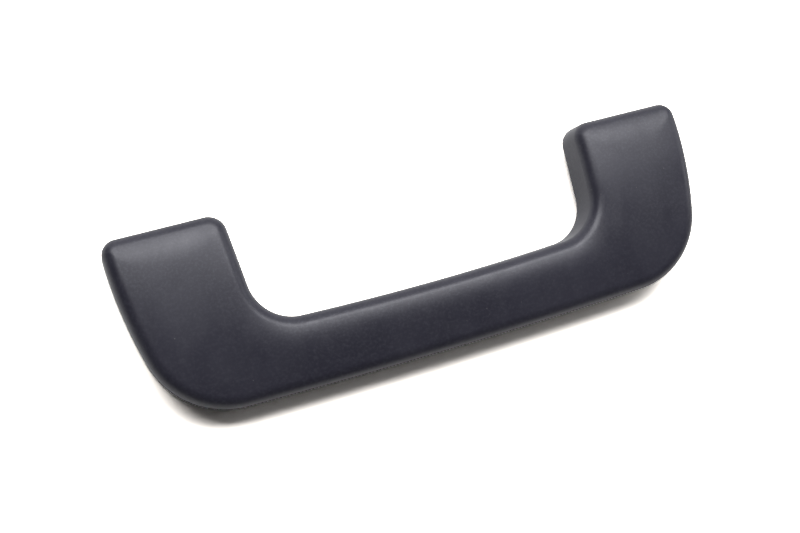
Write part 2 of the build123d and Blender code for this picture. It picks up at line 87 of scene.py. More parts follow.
class Formula:
    """A number inside a Geometry Nodes tree, so that a rule can be written as a formula."""

    def __init__(self, tree: "RuleTree", socket: bpy.types.NodeSocket) -> None:
        """Keeps the socket that holds the number.

        Args:
            tree: The tree that the socket belongs to.
            socket: The output socket that carries the number.
        """
        self.tree = tree
        self.socket = socket

    def __add__(self, other: Number) -> "Formula":
        """Sum of the two numbers."""
        return self.tree.math("ADD", self, other)

    def __radd__(self, other: Number) -> "Formula":
        """Sum of the two numbers."""
        return self.tree.math("ADD", other, self)

    def __sub__(self, other: Number) -> "Formula":
        """Difference of the two numbers."""
        return self.tree.math("SUBTRACT", self, other)

    def __rsub__(self, other: Number) -> "Formula":
        """Difference of the two numbers, the other way round."""
        return self.tree.math("SUBTRACT", other, self)

    def __mul__(self, other: Number) -> "Formula":
        """Product of the two numbers."""
        return self.tree.math("MULTIPLY", self, other)

    def __rmul__(self, other: Number) -> "Formula":
        """Product of the two numbers."""
        return self.tree.math("MULTIPLY", other, self)

    def __truediv__(self, other: Number) -> "Formula":
        """Quotient of the two numbers."""
        return self.tree.math("DIVIDE", self, other)


class RuleTree:
    """A Geometry Nodes tree that is built node by node and then applied to one object."""

    def __init__(self, name: str) -> None:
        """Makes the empty tree with its geometry input.

        Args:
            name: Name of the tree.
        """
        self.tree = bpy.data.node_groups.new(name, "GeometryNodeTree")
        self.tree.interface.new_socket(name="Geometry", in_out="INPUT", socket_type="NodeSocketGeometry")
        self.tree.interface.new_socket(name="Geometry", in_out="OUTPUT", socket_type="NodeSocketGeometry")
        self.entry = self.tree.nodes.new("NodeGroupInput")
        self.result = self.tree.nodes.new("NodeGroupOutput")
        self.settings: dict[str, float] = {}

    @property
    def geometry(self) -> bpy.types.NodeSocket:
        """The geometry that enters the tree."""
        return self.entry.outputs["Geometry"]

    def size(self, name: str, value: float) -> Formula:
        """Adds a named input for one size.

        Args:
            name: Name of the input.
            value: The size that the input is set to when the tree is applied.

        Returns:
            The input as a number for formulas.
        """
        item = self.tree.interface.new_socket(name=name, in_out="INPUT", socket_type="NodeSocketFloat")
        self.settings[item.identifier] = float(value)
        return Formula(self, self.entry.outputs[name])

    def count(self, name: str, value: int) -> bpy.types.NodeSocket:
        """Adds a named input for a whole number.

        Args:
            name: Name of the input.
            value: The number that the input is set to when the tree is applied.

        Returns:
            The input's socket.
        """
        item = self.tree.interface.new_socket(name=name, in_out="INPUT", socket_type="NodeSocketInt")
        self.settings[item.identifier] = int(value)
        return self.entry.outputs[name]

    def sizes(self, owner: object, *names: str) -> tuple[Formula, ...]:
        """Adds a named input for each of the owner's sizes."""
        return tuple(self.size(name.replace("_", " ").title(), getattr(owner, name)) for name in names)

    def node(self, kind: str, **inputs: object) -> bpy.types.Node:
        """Adds a node and fills its inputs.

        Args:
            kind: Type name of the node.
            inputs: Values or sockets by input name, with underscores for spaces, or node properties.

        Returns:
            The new node.
        """
        made = self.tree.nodes.new(kind)
        plugs: dict[str, object] = {}
        for key, value in inputs.items():
            if hasattr(made, key) and not isinstance(value, (bpy.types.NodeSocket, Formula)):
                setattr(made, key, value)
            else:
                plugs[key.replace("_", " ")] = value
        for key, value in plugs.items():
            self.plug(made.inputs[key], value)
        return made

    def plug(self, target: bpy.types.NodeSocket, value: object) -> None:
        """Links a socket or a formula to an input, or sets the input to a plain value.

        Args:
            target: The input to fill.
            value: A socket, a formula or a plain value.
        """
        if isinstance(value, Formula):
            value = value.socket
        if isinstance(value, bpy.types.NodeSocket):
            self.tree.links.new(value, target)
        else:
            target.default_value = value

    def math(self, operation: str, first: Number, second: Number = 0.0) -> Formula:
        """Adds one Math node.

        Args:
            operation: Name of the operation.
            first: First operand.
            second: Second operand, where the operation has one.

        Returns:
            The node's result.
        """
        made = self.tree.nodes.new("ShaderNodeMath")
        made.operation = operation
        self.plug(made.inputs[0], first)
        self.plug(made.inputs[1], second)
        return Formula(self, made.outputs[0])

    def sine(self, angle: Number) -> Formula:
        """Sine of an angle."""
        return self.math("SINE", angle)

    def cosine(self, angle: Number) -> Formula:
        """Cosine of an angle."""
        return self.math("COSINE", angle)

    def attribute(self, name: str) -> Formula:
        """Reads a number that is stored on each vertex.

        Args:
            name: Name of the attribute.

        Returns:
            The attribute's value.
        """
        made = self.tree.nodes.new("GeometryNodeInputNamedAttribute")
        made.data_type = "FLOAT"
        made.inputs["Name"].default_value = name
        return Formula(self, made.outputs["Attribute"])

    def place(self) -> tuple[Formula, ...]:
        """Reads the place of each vertex as it enters the tree.

        Returns:
            Its X, Y and Z.
        """
        apart = self.tree.nodes.new("ShaderNodeSeparateXYZ")
        self.tree.links.new(self.tree.nodes.new("GeometryNodeInputPosition").outputs[0], apart.inputs[0])
        return tuple(Formula(self, output) for output in apart.outputs)

    def vector(self, x: Number, y: Number, z: Number) -> bpy.types.NodeSocket:
        """Joins three numbers into a vector.

        Args:
            x: First part.
            y: Second part.
            z: Third part.

        Returns:
            The vector's socket.
        """
        made = self.tree.nodes.new("ShaderNodeCombineXYZ")
        for target, value in zip(made.inputs, (x, y, z)):
            self.plug(target, value)
        return made.outputs[0]

    def moved(self, geometry: bpy.types.NodeSocket, place: bpy.types.NodeSocket) -> bpy.types.NodeSocket:
        """Sets the vertices of a geometry to a place."""
        return self.node("GeometryNodeSetPosition", Geometry=geometry, Position=place).outputs[0]

    def spread(self, points: bpy.types.NodeSocket, piece: bpy.types.NodeSocket) -> bpy.types.NodeSocket:
        """Sets a copy of a piece on every point."""
        return self.node("GeometryNodeInstanceOnPoints", Points=points, Instance=piece).outputs[0]

    def finish(self, geometry: bpy.types.NodeSocket, material: bpy.types.Material) -> None:
        """Ends the tree in Realize Instances, smooth shading and Set Material.

        Args:
            geometry: The geometry that the rule has made.
            material: The finish of the piece.
        """
        real = self.node("GeometryNodeRealizeInstances", Geometry=geometry)
        shade = self.node("GeometryNodeSetShadeSmooth", Geometry=real.outputs[0], Shade_Smooth=True)
        dressed = self.node("GeometryNodeSetMaterial", Geometry=shade.outputs[0], Material=material)
        self.tree.links.new(dressed.outputs[0], self.result.inputs[0])

    def apply(self, name: str, pattern: Pattern) -> bpy.types.Object:
        """Runs the tree on a pattern and keeps the result as a plain mesh, without the pattern's numbers.

        Args:
            name: Name of the finished piece.
            pattern: The pattern that enters the tree.

        Returns:
            The finished piece, at the origin and without modifiers.
        """
        source = linked(f"{name}_pattern", pattern.mesh(f"{name}_pattern"))
        modifier = source.modifiers.new("rule", "NODES")
        modifier.node_group = self.tree
        for identifier, value in self.settings.items():
            modifier[identifier] = value
        bpy.context.view_layer.update()
        graph = bpy.context.evaluated_depsgraph_get()
        mesh = bpy.data.meshes.new_from_object(source.evaluated_get(graph), depsgraph=graph)
        mesh.name = name
        for mark in pattern.table:
            mesh.attributes.remove(mesh.attributes[mark])
        bpy.data.objects.remove(source)
        return linked(name, mesh)


class Pattern:
    """Rings and grids of vertices that carry numbers, from which a rule tree shapes a piece."""

    def __init__(self, marks: tuple[str, ...]) -> None:
        """Starts an empty pattern.

        Args:
            marks: Names of the numbers that every vertex carries.
        """
        self.table: dict[str, list[np.ndarray]] = {mark: [] for mark in marks}
        self.plans: list[np.ndarray] = []
        self.faces: list[tuple[int, ...]] = []

    def keep(self, plan: np.ndarray, **values: np.ndarray | float) -> int:
        """Adds vertices.

        Args:
            plan: Their X and Y.
            values: Their numbers by name, one for all or one for each. A number that is not given is 0.

        Returns:
            The first vertex's index.
        """
        first = sum(len(kept) for kept in self.plans)
        self.plans.append(plan)
        for mark, columns in self.table.items():
            columns.append(np.broadcast_to(values.get(mark, 0.0), (len(plan),)).astype(float))
        return first

    def ring(self, number: int, **values: float) -> int:
        """Adds a ring of vertices that carry their turn round the axis.

        Args:
            number: How many there are.
            values: Their other numbers by name.

        Returns:
            The first vertex's index.
        """
        return self.keep(np.zeros((number, 2)), turn=2 * math.pi * np.arange(number) / number, **values)

    def band(self, low: int, high: int, number: int, flip: bool = False) -> None:
        """Adds the faces between two closed rings.

        Args:
            low: First vertex of the lower ring.
            high: First vertex of the upper ring.
            number: How many vertices a ring has.
            flip: Whether the faces are turned round.
        """
        for here in range(number):
            ahead = (here + 1) % number
            quad = (low + here, low + ahead, high + ahead, high + here)
            self.faces.append(quad[::-1] if flip else quad)

    def mesh(self, name: str) -> bpy.types.Mesh:
        """Makes the flat mesh.

        Args:
            name: Name of the mesh.

        Returns:
            The mesh, with the numbers stored as attributes.
        """
        plan = np.concatenate(self.plans)
        mesh = bpy.data.meshes.new(name)
        mesh.from_pydata(np.column_stack([plan, np.zeros(len(plan))]).tolist(), [], self.faces)
        for mark, columns in self.table.items():
            mesh.attributes.new(mark, "FLOAT", "POINT").data.foreach_set("value", np.concatenate(columns))
        return mesh


@dataclass
class HandlePlane:
    """The handle's own plane, tilted about the hinge, whose points a rule tree sets into the frame."""

    rule: RuleTree
    tilt: float = 7.0
    pivot_y: float = 30.0
    pivot_z: float = 15.237299

    def __post_init__(self) -> None:
        """Adds the plane's named inputs to the tree."""
        tilt = self.rule.size("Tilt", math.radians(self.tilt))
        self.sine, self.cosine = self.rule.sine(tilt), self.rule.cosine(tilt)
        self.pivot = self.rule.sizes(self, "pivot_y", "pivot_z")

    def place(self, x: Number, y: Number, z: Number, from_hinge: bool = True) -> bpy.types.NodeSocket:
        """Sets a point of the plane into the frame.

        Args:
            x: Its place along the grip, in millimetres.
            y: Its place across the grip.
            z: Its height over the plane.
            from_hinge: Whether it is measured from the hinge, and not only tilted.

        Returns:
            The point's socket, in metres.
        """
        start_y, start_z = self.pivot if from_hinge else (0.0, 0.0)
        row_y = start_y + y * self.cosine - z * self.sine
        row_z = start_z + y * self.sine + z * self.cosine
        return self.rule.vector(x * MM, row_y * MM, row_z * MM)


def linked(name: str, data: bpy.types.ID) -> bpy.types.Object:
    """Adds an object to the scene.

    Args:
        name: Name of the object.
        data: Its mesh, lamp or camera.

    Returns:
        The object, at the origin.
    """
    made = bpy.data.objects.new(name, data)
    bpy.context.scene.collection.objects.link(made)
    return made


def hand_over(piece: bpy.types.Object, body: Body, node: str | None = None) -> None:
    """Tells the frame a finished piece's body, and hides the node that it stands for.

    Args:
        piece: The finished piece.
        body: The body that it rides on.
        node: The node that it stands for, where there is one.
    """
    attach(piece, body.value)
    if node:
        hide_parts(node)
    LOG.info("%s with %d faces", piece.name, len(piece.data.polygons))


class Paint:
    """Builds a material on the Principled shader from noise on Object coordinates."""

    def __init__(self, name: str) -> None:
        """Makes the material with its shader and coordinates.

        Args:
            name: Name of the material.
        """
        self.material = bpy.data.materials.new(name)
        self.material.use_nodes = True
        self.tree = self.material.node_tree
        self.shader = next(n for n in self.tree.nodes if n.type == "BSDF_PRINCIPLED")
        self.place = self.tree.nodes.new("ShaderNodeTexCoord").outputs["Object"]

    def constants(self, **values: float | tuple[float, ...]) -> None:
        """Sets constants on the shader's own sockets.

        Args:
            values: Socket names, with underscores for spaces, and their values.
        """
        for key, value in values.items():
            self.shader.inputs[key.replace("_", " ")].default_value = value

    def link(self, source: bpy.types.NodeSocket, target: bpy.types.NodeSocket) -> None:
        """Links two sockets."""
        self.tree.links.new(source, target)

    def noise(self, scale: float, detail: float = 3.0, roughness: float = 0.5, distortion: float = 0.0,
              stretch: Triple = (1.0, 1.0, 1.0)) -> bpy.types.NodeSocket:
        """Adds noise on Object coordinates.

        Args:
            scale: Scale of the noise per metre.
            detail: Octaves of the noise.
            roughness: How strong the fine octaves are.
            distortion: How far the noise is bent.
            stretch: Scale along each axis.

        Returns:
            The noise value's socket.
        """
        place = self.tree.nodes.new("ShaderNodeMapping")
        place.inputs["Scale"].default_value = stretch
        self.link(self.place, place.inputs["Vector"])
        made = self.tree.nodes.new("ShaderNodeTexNoise")
        made.inputs["Scale"].default_value = scale
        made.inputs["Detail"].default_value = detail
        made.inputs["Roughness"].default_value = roughness
        made.inputs["Distortion"].default_value = distortion
        self.link(place.outputs[0], made.inputs["Vector"])
        return made.outputs["Fac"]

    def cells(self, scale: float) -> bpy.types.NodeSocket:
        """Adds a cell pattern on Object coordinates.

        Args:
            scale: Cells per metre.

        Returns:
            The socket of the distance from a cell's middle.
        """
        made = self.tree.nodes.new("ShaderNodeTexVoronoi")
        made.inputs["Scale"].default_value = scale
        self.link(self.place, made.inputs["Vector"])
        return made.outputs["Distance"]

    def span(self, value: bpy.types.NodeSocket, low: float, high: float,
             start: float = 0.0, end: float = 1.0) -> bpy.types.NodeSocket:
        """Maps a value softly from one range to another, clamped.

        Args:
            value: The value to map.
            low: Value that becomes start.
            high: Value that becomes end.
            start: Lower result.
            end: Upper result.

        Returns:
            The mapped value's socket.
        """
        made = self.tree.nodes.new("ShaderNodeMapRange")
        made.interpolation_type = "SMOOTHSTEP"
        self.link(value, made.inputs["Value"])
        for key, number in (("From Min", low), ("From Max", high), ("To Min", start), ("To Max", end)):
            made.inputs[key].default_value = number
        return made.outputs["Result"]

    def product(self, first: bpy.types.NodeSocket,
                second: bpy.types.NodeSocket | float) -> bpy.types.NodeSocket:
        """Multiplies two values.

        Args:
            first: First factor.
            second: Second factor, a socket or a number.

        Returns:
            The product's socket.
        """
        made = self.tree.nodes.new("ShaderNodeMath")
        made.operation = "MULTIPLY"
        self.link(first, made.inputs[0])
        if isinstance(second, float):
            made.inputs[1].default_value = second
        else:
            self.link(second, made.inputs[1])
        return made.outputs[0]

    def blend(self, factor: bpy.types.NodeSocket, first: object, second: object) -> bpy.types.NodeSocket:
        """Mixes two colours.

        Args:
            factor: Share of the second colour.
            first: A colour or a socket.
            second: A colour or a socket.

        Returns:
            The mixed colour's socket.
        """
        made = self.tree.nodes.new("ShaderNodeMix")
        made.data_type = "RGBA"
        self.link(factor, made.inputs["Factor"])
        for target, value in ((made.inputs[6], first), (made.inputs[7], second)):
            if isinstance(value, bpy.types.NodeSocket):
                self.link(value, target)
            else:
                target.default_value = (*value, 1.0)
        return made.outputs[2]

    def colour(self, factor: bpy.types.NodeSocket, first: object, second: object) -> None:
        """Makes the surface's colour from two, mixed by the factor."""
        self.link(self.blend(factor, first, second), self.shader.inputs["Base Color"])

    def gloss(self, value: bpy.types.NodeSocket, low: float, high: float, start: float, end: float) -> None:
        """Makes the surface's roughness from a value between low and high."""
        self.link(self.span(value, low, high, start, end), self.shader.inputs["Roughness"])

    def relief(self, height: bpy.types.NodeSocket, depth: float, strength: float = 1.0) -> None:
        """Adds a bump on top of the earlier ones.

        Args:
            height: Height pattern between 0 and 1.
            depth: Depth of the pattern in metres.
            strength: Share of the bump.
        """
        made = self.tree.nodes.new("ShaderNodeBump")
        made.inputs["Distance"].default_value = depth
        made.inputs["Strength"].default_value = strength
        self.link(height, made.inputs["Height"])
        normal = self.shader.inputs["Normal"]
        if normal.is_linked:
            self.link(normal.links[0].from_socket, made.inputs["Normal"])
        self.link(made.outputs[0], normal)


# Finishes


@dataclass(frozen=True)
class SoftTouch:
    """Satin soft-touch paint on the shell, with handling marks and a little dust."""

    colour: Triple = (0.021, 0.0205, 0.032)
    worn_colour: Triple = (0.028, 0.0275, 0.041)
    haze: Triple = (0.040, 0.040, 0.055)
    dust_colour: Triple = (0.33, 0.33, 0.34)
    dust_share: float = 0.55
    tint: tuple[float, ...] = (0.95, 0.95, 1.0, 1.0)
    roughness: float = 0.37
    sheen: float = 0.1
    grain_depth: float = 0.000016
    wave_depth: float = 0.00001

    def build(self) -> bpy.types.Material:
        """Makes the material.

        Returns:
            The paint, worn in clouds, with rubbed places, rare specks of dust and a fine grain.
        """
        paint = Paint("soft_touch")
        paint.constants(Specular_IOR_Level=0.5, Specular_Tint=self.tint)
        paint.constants(Sheen_Weight=self.sheen, Sheen_Roughness=0.45)
        cloud = paint.noise(scale=26.0, detail=4.0, roughness=0.55, distortion=0.4)
        rubbed = paint.noise(scale=85.0, detail=5.0, roughness=0.62, distortion=0.8, stretch=(1.0, 0.45, 1.0))
        mottle = paint.noise(scale=900.0, roughness=0.7)
        worn = paint.blend(paint.span(cloud, 0.38, 0.68), self.colour, self.worn_colour)
        hazed = paint.blend(paint.span(mottle, 0.42, 0.72, end=0.8), worn, self.haze)
        specks = paint.span(paint.cells(scale=330.0), 0.0, 0.085, start=1.0, end=0.0)
        rare = paint.span(paint.noise(scale=48.0, detail=1.0), 0.58, 0.66)
        dust = paint.product(paint.product(specks, rare), self.dust_share)
        paint.colour(dust, hazed, self.dust_colour)
        paint.gloss(rubbed, 0.3, 0.72, self.roughness - 0.035, self.roughness + 0.05)
        paint.relief(paint.noise(scale=2600.0, roughness=0.6), self.grain_depth, 0.7)
        paint.relief(paint.noise(scale=160.0, detail=2.0), self.wave_depth, 0.35)
        return paint.material


@dataclass(frozen=True)
class GrainedPlastic:
    """Moulded plastic with a fine eroded grain."""

    name: str
    colour: Triple
    roughness: float = 0.55
    grain: float = 1500.0
    grain_depth: float = 0.00002

    def build(self) -> bpy.types.Material:
        """Makes the material.

        Returns:
            The plastic, a little paler in clouds and scuffed.
        """
        paint = Paint(self.name)
        paint.constants(Specular_IOR_Level=0.45)
        cloud = paint.noise(scale=40.0, detail=4.0, roughness=0.6)
        pale = tuple(min(1.0, part * 1.22 + 0.004) for part in self.colour)
        paint.colour(paint.span(cloud, 0.35, 0.7), self.colour, pale)
        scuff = paint.noise(scale=190.0, detail=5.0, roughness=0.7, distortion=1.2, stretch=(1.0, 0.3, 1.0))
        paint.gloss(scuff, 0.35, 0.7, self.roughness - 0.06, self.roughness + 0.09)
        paint.relief(paint.noise(scale=self.grain, detail=2.0), self.grain_depth, 0.8)
        return paint.material


@dataclass(frozen=True)
class CastMetal:
    """Die-cast and tumbled metal, darker in clouds and rougher in its pores."""

    name: str
    colour: Triple
    roughness: float = 0.42
    grain_depth: float = 0.00002
    dent_depth: float = 0.00004

    def build(self) -> bpy.types.Material:
        """Makes the material.

        Returns:
            The metal, dull in its pores, with a fine grain and shallow dents.
        """
        paint = Paint(self.name)
        paint.constants(Metallic=1.0)
        dull = tuple(part * 0.62 for part in self.colour)
        cloud = paint.noise(scale=120.0, detail=5.0, roughness=0.65, distortion=0.6)
        paint.colour(paint.span(cloud, 0.36, 0.66), dull, self.colour)
        pores = paint.noise(scale=420.0, detail=4.0, roughness=0.6)
        paint.gloss(pores, 0.3, 0.7, self.roughness - 0.08, self.roughness + 0.14)
        paint.relief(paint.noise(scale=1700.0, roughness=0.6), self.grain_depth, 0.8)
        paint.relief(paint.noise(scale=260.0, detail=2.0), self.dent_depth, 0.5)
        return paint.material


@dataclass(frozen=True)
class TurnedSteel:
    """Turned or drawn steel with fine rings along its length."""

    name: str
    colour: Triple
    roughness: float = 0.28
    stretch: Triple = (1.0, 0.04, 0.04)
    ring_depth: float = 0.000006

    def build(self) -> bpy.types.Material:
        """Makes the material.

        Returns:
            The steel, with fine rings in its gloss and its relief.
        """
        paint = Paint(self.name)
        paint.constants(Metallic=1.0)
        dull = tuple(part * 0.8 for part in self.colour)
        cloud = paint.noise(scale=300.0, roughness=0.6)
        paint.colour(paint.span(cloud, 0.35, 0.7), dull, self.colour)
        rings = paint.noise(scale=5200.0, detail=2.0, stretch=self.stretch)
        paint.gloss(rings, 0.3, 0.7, self.roughness - 0.07, self.roughness + 0.1)
        paint.relief(rings, self.ring_depth, 0.6)
        return paint.material


@dataclass(frozen=True)
class MouldedRubber:
    """Matt black moulded rubber with a faint bloom."""

    colour: Triple = (0.016, 0.016, 0.017)
    bloom_colour: Triple = (0.035, 0.035, 0.036)
    grain_depth: float = 0.000015

    def build(self) -> bpy.types.Material:
        """Makes the material.

        Returns:
            The rubber, with a bloom in clouds.
        """
        paint = Paint("stop_rubber")
        paint.constants(Specular_IOR_Level=0.35, Sheen_Weight=0.08)
        bloom = paint.noise(scale=220.0, detail=4.0, roughness=0.65)
        paint.colour(paint.span(bloom, 0.4, 0.75), self.colour, self.bloom_colour)
        paint.gloss(paint.noise(scale=600.0), 0.3, 0.7, 0.62, 0.8)
        paint.relief(paint.noise(scale=2400.0, detail=2.0), self.grain_depth, 0.6)
        return paint.material


class Finishes:
    """Every finish of the handle, made once and named as in the record."""

    def __init__(self) -> None:
        """Builds the materials."""
        self.by_slot: dict[str, bpy.types.Material] = {
            "soft_touch": SoftTouch().build(),
            "soft_touch_back": GrainedPlastic("soft_touch_back", (0.03, 0.031, 0.036)).build(),
            "black_plastic": GrainedPlastic("black_plastic", (0.02, 0.02, 0.022), 0.5).build(),
            "bush_plastic": GrainedPlastic("bush_plastic", (0.66, 0.64, 0.58), 0.38, 900.0, 0.000008).build(),
            "cast_zinc": CastMetal("cast_zinc", (0.44, 0.45, 0.47)).build(),
            "zinc_steel": TurnedSteel("zinc_steel", (0.62, 0.63, 0.65), 0.3, (1.0, 1.0, 0.05)).build(),
            "pin_steel": TurnedSteel("pin_steel", (0.56, 0.57, 0.58), 0.24).build(),
            "spring_steel": TurnedSteel("spring_steel", (0.25, 0.25, 0.26), 0.34, (1.0, 0.3, 0.3)).build(),
            "stop_rubber": MouldedRubber().build(),
        }

    def dress(self, node: bpy.types.Object, slot: str) -> None:
        """Gives a node of the frame its finish.

        Args:
            node: The node's object.
            slot: Name of the finish.
        """
        node.data.materials.clear()
        node.data.materials.append(self.by_slot[slot])
        LOG.info("%s in %s", node.name, slot)


# The shell


@dataclass
class GripShell:
    """The U-shaped soft-touch shell, made by one rule: drafted walls, a rounded edge and a bowed front.

    Lengths are in millimetres and angles in degrees. Y is 0 at the hinged edge and negative towards the grip.
    """

    half_length: float = 125.0
    handle_height: float = 76.9
    end_width: float = 48.0
    end_lean: float = 4.5
    grip_width: float = 30.6
    grip_arch: float = 2.1
    bottom_radius: float = 3000.0
    shoulder_radius: float = 34.6
    side_radius: float = 198.0
    side_start_angle: float = 76.0
    outer_corner_radius: float = 6.2
    top_corner_radius: float = 7.4
    inner_corner_radius: float = 18.2
    front_bow: float = 2.7
    edge_radius: float = 5.6
    shoulder_tilt: float = 14.0
    shoulder_reach: float = 13.0
    shoulder_ease: float = 6.0
    shoulder_power: int = 3
    rim_radius: float = 2.0
    depth_at_hinge: float = 18.5
    depth_at_grip: float = 15.0
    draft: float = 3.0
    wall: float = 2.6
    pivot_from_top: float = 11.0
    pivot_from_front: float = 9.2
    across: int = 44
    along: tuple[int, int, int] = (46, 44, 62)
    corner_steps: int = 16
    fit_rounds: int = 8
    outer_steps: tuple[int, int, int] = (5, 5, 18)
    inner_steps: tuple[int, int, int] = (0, 2, 8)
    marks: tuple[str, ...] = (
        "out_x", "out_y", "rim_turn", "wall_run", "edge_turn", "inner", "lean", "front", "sunk",
    )

    @staticmethod
    def fillet(corner: np.ndarray, back: np.ndarray, ahead: np.ndarray,
               radius: float, steps: int) -> np.ndarray:
        """Rounds the corner between two straight sides.

        Args:
            corner: The sharp corner.
            back: Direction from the corner along the side before it.
            ahead: Direction from the corner along the side after it.
            radius: Radius of the round.
            steps: Number of steps.

        Returns:
            The points, ends included.
        """
        back = back / np.linalg.norm(back)
        ahead = ahead / np.linalg.norm(ahead)
        half = math.acos(float(np.clip(back @ ahead, -1, 1))) / 2
        middle = back + ahead
        centre = corner + middle / np.linalg.norm(middle) * radius / math.sin(half)
        start = corner + back * radius / math.tan(half) - centre
        stop = corner + ahead * radius / math.tan(half) - centre
        first = math.atan2(start[1], start[0])
        turn = (math.atan2(stop[1], stop[0]) - first + math.pi) % (2 * math.pi) - math.pi
        angles = first + turn * np.linspace(0, 1, steps + 1)
        return centre + radius * np.stack([np.cos(angles), np.sin(angles)], 1)

    def half_outline(self) -> tuple[list[np.ndarray], list[np.ndarray]]:
        """Right half of the outline at the level where the front's rounding starts.

        Returns:
            The outer runs from the middle of the bottom over the top corner and along the top edge, and
            the inner runs from the top corner to the middle of the grip's upper edge.
        """
        start = math.radians(self.side_start_angle)
        reach = self.half_length - self.side_radius
        reach -= (self.shoulder_radius - self.side_radius) * math.sin(start)
        swing = math.asin(reach / (self.bottom_radius - self.shoulder_radius))
        side_steps, shoulder_steps, grip_steps = self.along

        def arc(centre: np.ndarray, radius: float, first: float, last: float, steps: int) -> np.ndarray:
            """Points of an arc, with angles counted from straight down."""
            angles = np.linspace(first, last, steps + 1)
            return centre + radius * np.stack([np.sin(angles), -np.cos(angles)], 1)

        bottom_centre = np.array([0.0, self.bottom_radius - self.handle_height])
        bottom = arc(bottom_centre, self.bottom_radius, 0.0, swing, grip_steps)
        shoulder_centre = bottom[-1] + self.shoulder_radius * np.array([-math.sin(swing), math.cos(swing)])
        shoulder = arc(shoulder_centre, self.shoulder_radius, swing, start, shoulder_steps)
        side_centre = shoulder[-1] + self.side_radius * np.array([-math.sin(start), math.cos(start)])
        drop = side_centre[1] + self.outer_corner_radius
        round_x = side_centre[0] + math.sqrt((self.side_radius - self.outer_corner_radius) ** 2 - drop**2)
        side_stop = math.atan2(round_x - side_centre[0], drop)
        side = arc(side_centre, self.side_radius, start, side_stop, side_steps)
        round_centre = np.array([round_x, -self.outer_corner_radius])
        outer_round = arc(round_centre, self.outer_corner_radius, side_stop, math.pi, self.corner_steps)
        lean = np.array([-math.tan(math.radians(self.end_lean)), -1.0])
        inner_top = np.array([self.half_length - self.end_width, 0.0])
        level = np.array([1.0, 0.0])
        inner_round = self.fillet(inner_top, level, lean, self.top_corner_radius, self.corner_steps)
        grip_y = self.grip_width - self.handle_height
        middle_y = grip_y - self.grip_arch
        low_x = inner_top[0] + lean[0] * -grip_y
        bend = self.grip_arch / low_x**2
        touch = low_x - self.inner_corner_radius
        for _ in range(self.fit_rounds):
            slope = 2 * bend * touch
            low_y = middle_y + bend * touch**2 + slope * (inner_top[0] - touch)
            low_y /= 1 + slope * lean[0]
            low_corner = inner_top + lean * -low_y
            ahead = np.array([-1.0, -slope])
            low_round = self.fillet(low_corner, -lean, ahead, self.inner_corner_radius, shoulder_steps)
            touch = low_round[-1][0]
        share = np.linspace(0, 1, side_steps + 1)[:, None]
        inner_side = inner_round[-1] + (low_round[0] - inner_round[-1]) * share
        x = np.linspace(touch, 0.0, grip_steps + 1)
        grip = np.stack([x, middle_y + bend * x**2], 1)
        share = np.linspace(0, 1, self.across - self.corner_steps + 1)[:, None]
        top = outer_round[-1] + (inner_round[0] - outer_round[-1]) * share
        return [bottom, shoulder, side, outer_round, top], [inner_round, inner_side, low_round, grip]

    def outline(self) -> np.ndarray:
        """Joins the runs and their mirror images.

        Returns:
            The closed outline, starting in the middle of the right outer top corner.
        """
        outer, inner = self.half_outline()
        runs = outer + inner
        right = np.concatenate([run[:-1] for run in runs] + [runs[-1][-1:]])
        left = right[::-1][1:-1] * np.array([-1.0, 1.0])
        start = sum(len(run) - 1 for run in outer[:3]) + self.corner_steps // 2
        return np.roll(np.concatenate([right, left]), -start, 0)

    @staticmethod
    def outward(points: np.ndarray) -> np.ndarray:
        """Unit directions out of a closed outline that runs the other way than a clock's hands.

        Args:
            points: The outline.

        Returns:
            One direction for each point.
        """
        run = np.roll(points, -1, 0) - np.roll(points, 1, 0)
        run /= np.linalg.norm(run, axis=1)[:, None]
        return np.stack([run[:, 1], -run[:, 0]], 1)

    def front_slope(self, y: np.ndarray) -> tuple[np.ndarray, np.ndarray]:
        """Height and slope of the bowed front.

        Args:
            y: Distance from the hinged edge, downwards negative.

        Returns:
            The heights and the slopes along Y.
        """
        radius = (self.handle_height**2 / 4 + self.front_bow**2) / (2 * self.front_bow)
        offset = y + self.handle_height / 2
        fall = np.sqrt(radius**2 - offset**2)
        return self.front_bow - radius + fall, -offset / fall

    def lean_share(self, points: np.ndarray, out: np.ndarray) -> np.ndarray:
        """Share of the shoulder's tilt along the outline, eased over a short way.

        Args:
            points: The outline.
            out: Outward directions.

        Returns:
            Near 1 along the edges that face the hinge and near 0 along the opposite ones.
        """
        share = ((1 + out[:, 1]) / 2) ** 2
        step = np.linalg.norm(np.roll(points, -1, 0) - points, axis=1)
        along = np.cumsum(step)
        apart = np.abs(along[:, None] - along[None])
        apart = np.minimum(apart, along[-1] - apart)
        weight = np.exp(-((apart / self.shoulder_ease) ** 2)) * step
        return weight @ share / weight.sum(1)

    def front_ring(self, points: np.ndarray, out: np.ndarray, lean: np.ndarray, inset: float) -> np.ndarray:
        """Plan of the ring where the edge's rounding meets the front.

        Args:
            points: The outline.
            out: Outward directions.
            lean: Share of the shoulder's tilt.
            inset: How far the skin lies inside the outer one.

        Returns:
            The ring's points.
        """
        radius = self.edge_radius
        ds, dc = math.sin(math.radians(self.draft)), math.cos(math.radians(self.draft))
        shoulder = math.radians(self.shoulder_tilt) * lean
        reach = -radius * (1 - np.sin(shoulder))
        for _ in range(2):  # the rule tree takes the same two passes
            height, slope = self.front_slope(points[:, 1] + out[:, 1] * reach)
            turn = np.arctan(-slope * out[:, 1]) + shoulder
            middle = height - self.shoulder_drop * lean - radius * np.cos(turn)
            reach = radius * np.sin(turn) - (radius * (1 + ds) + middle * ds) / dc
        return points + out * (reach - inset * np.sin(turn))[:, None]

    @property
    def shoulder_drop(self) -> float:
        """How far the front has sunk at the edge's rounding, for a shoulder that starts at its tilt."""
        return self.shoulder_reach * math.tan(math.radians(self.shoulder_tilt)) / self.shoulder_power

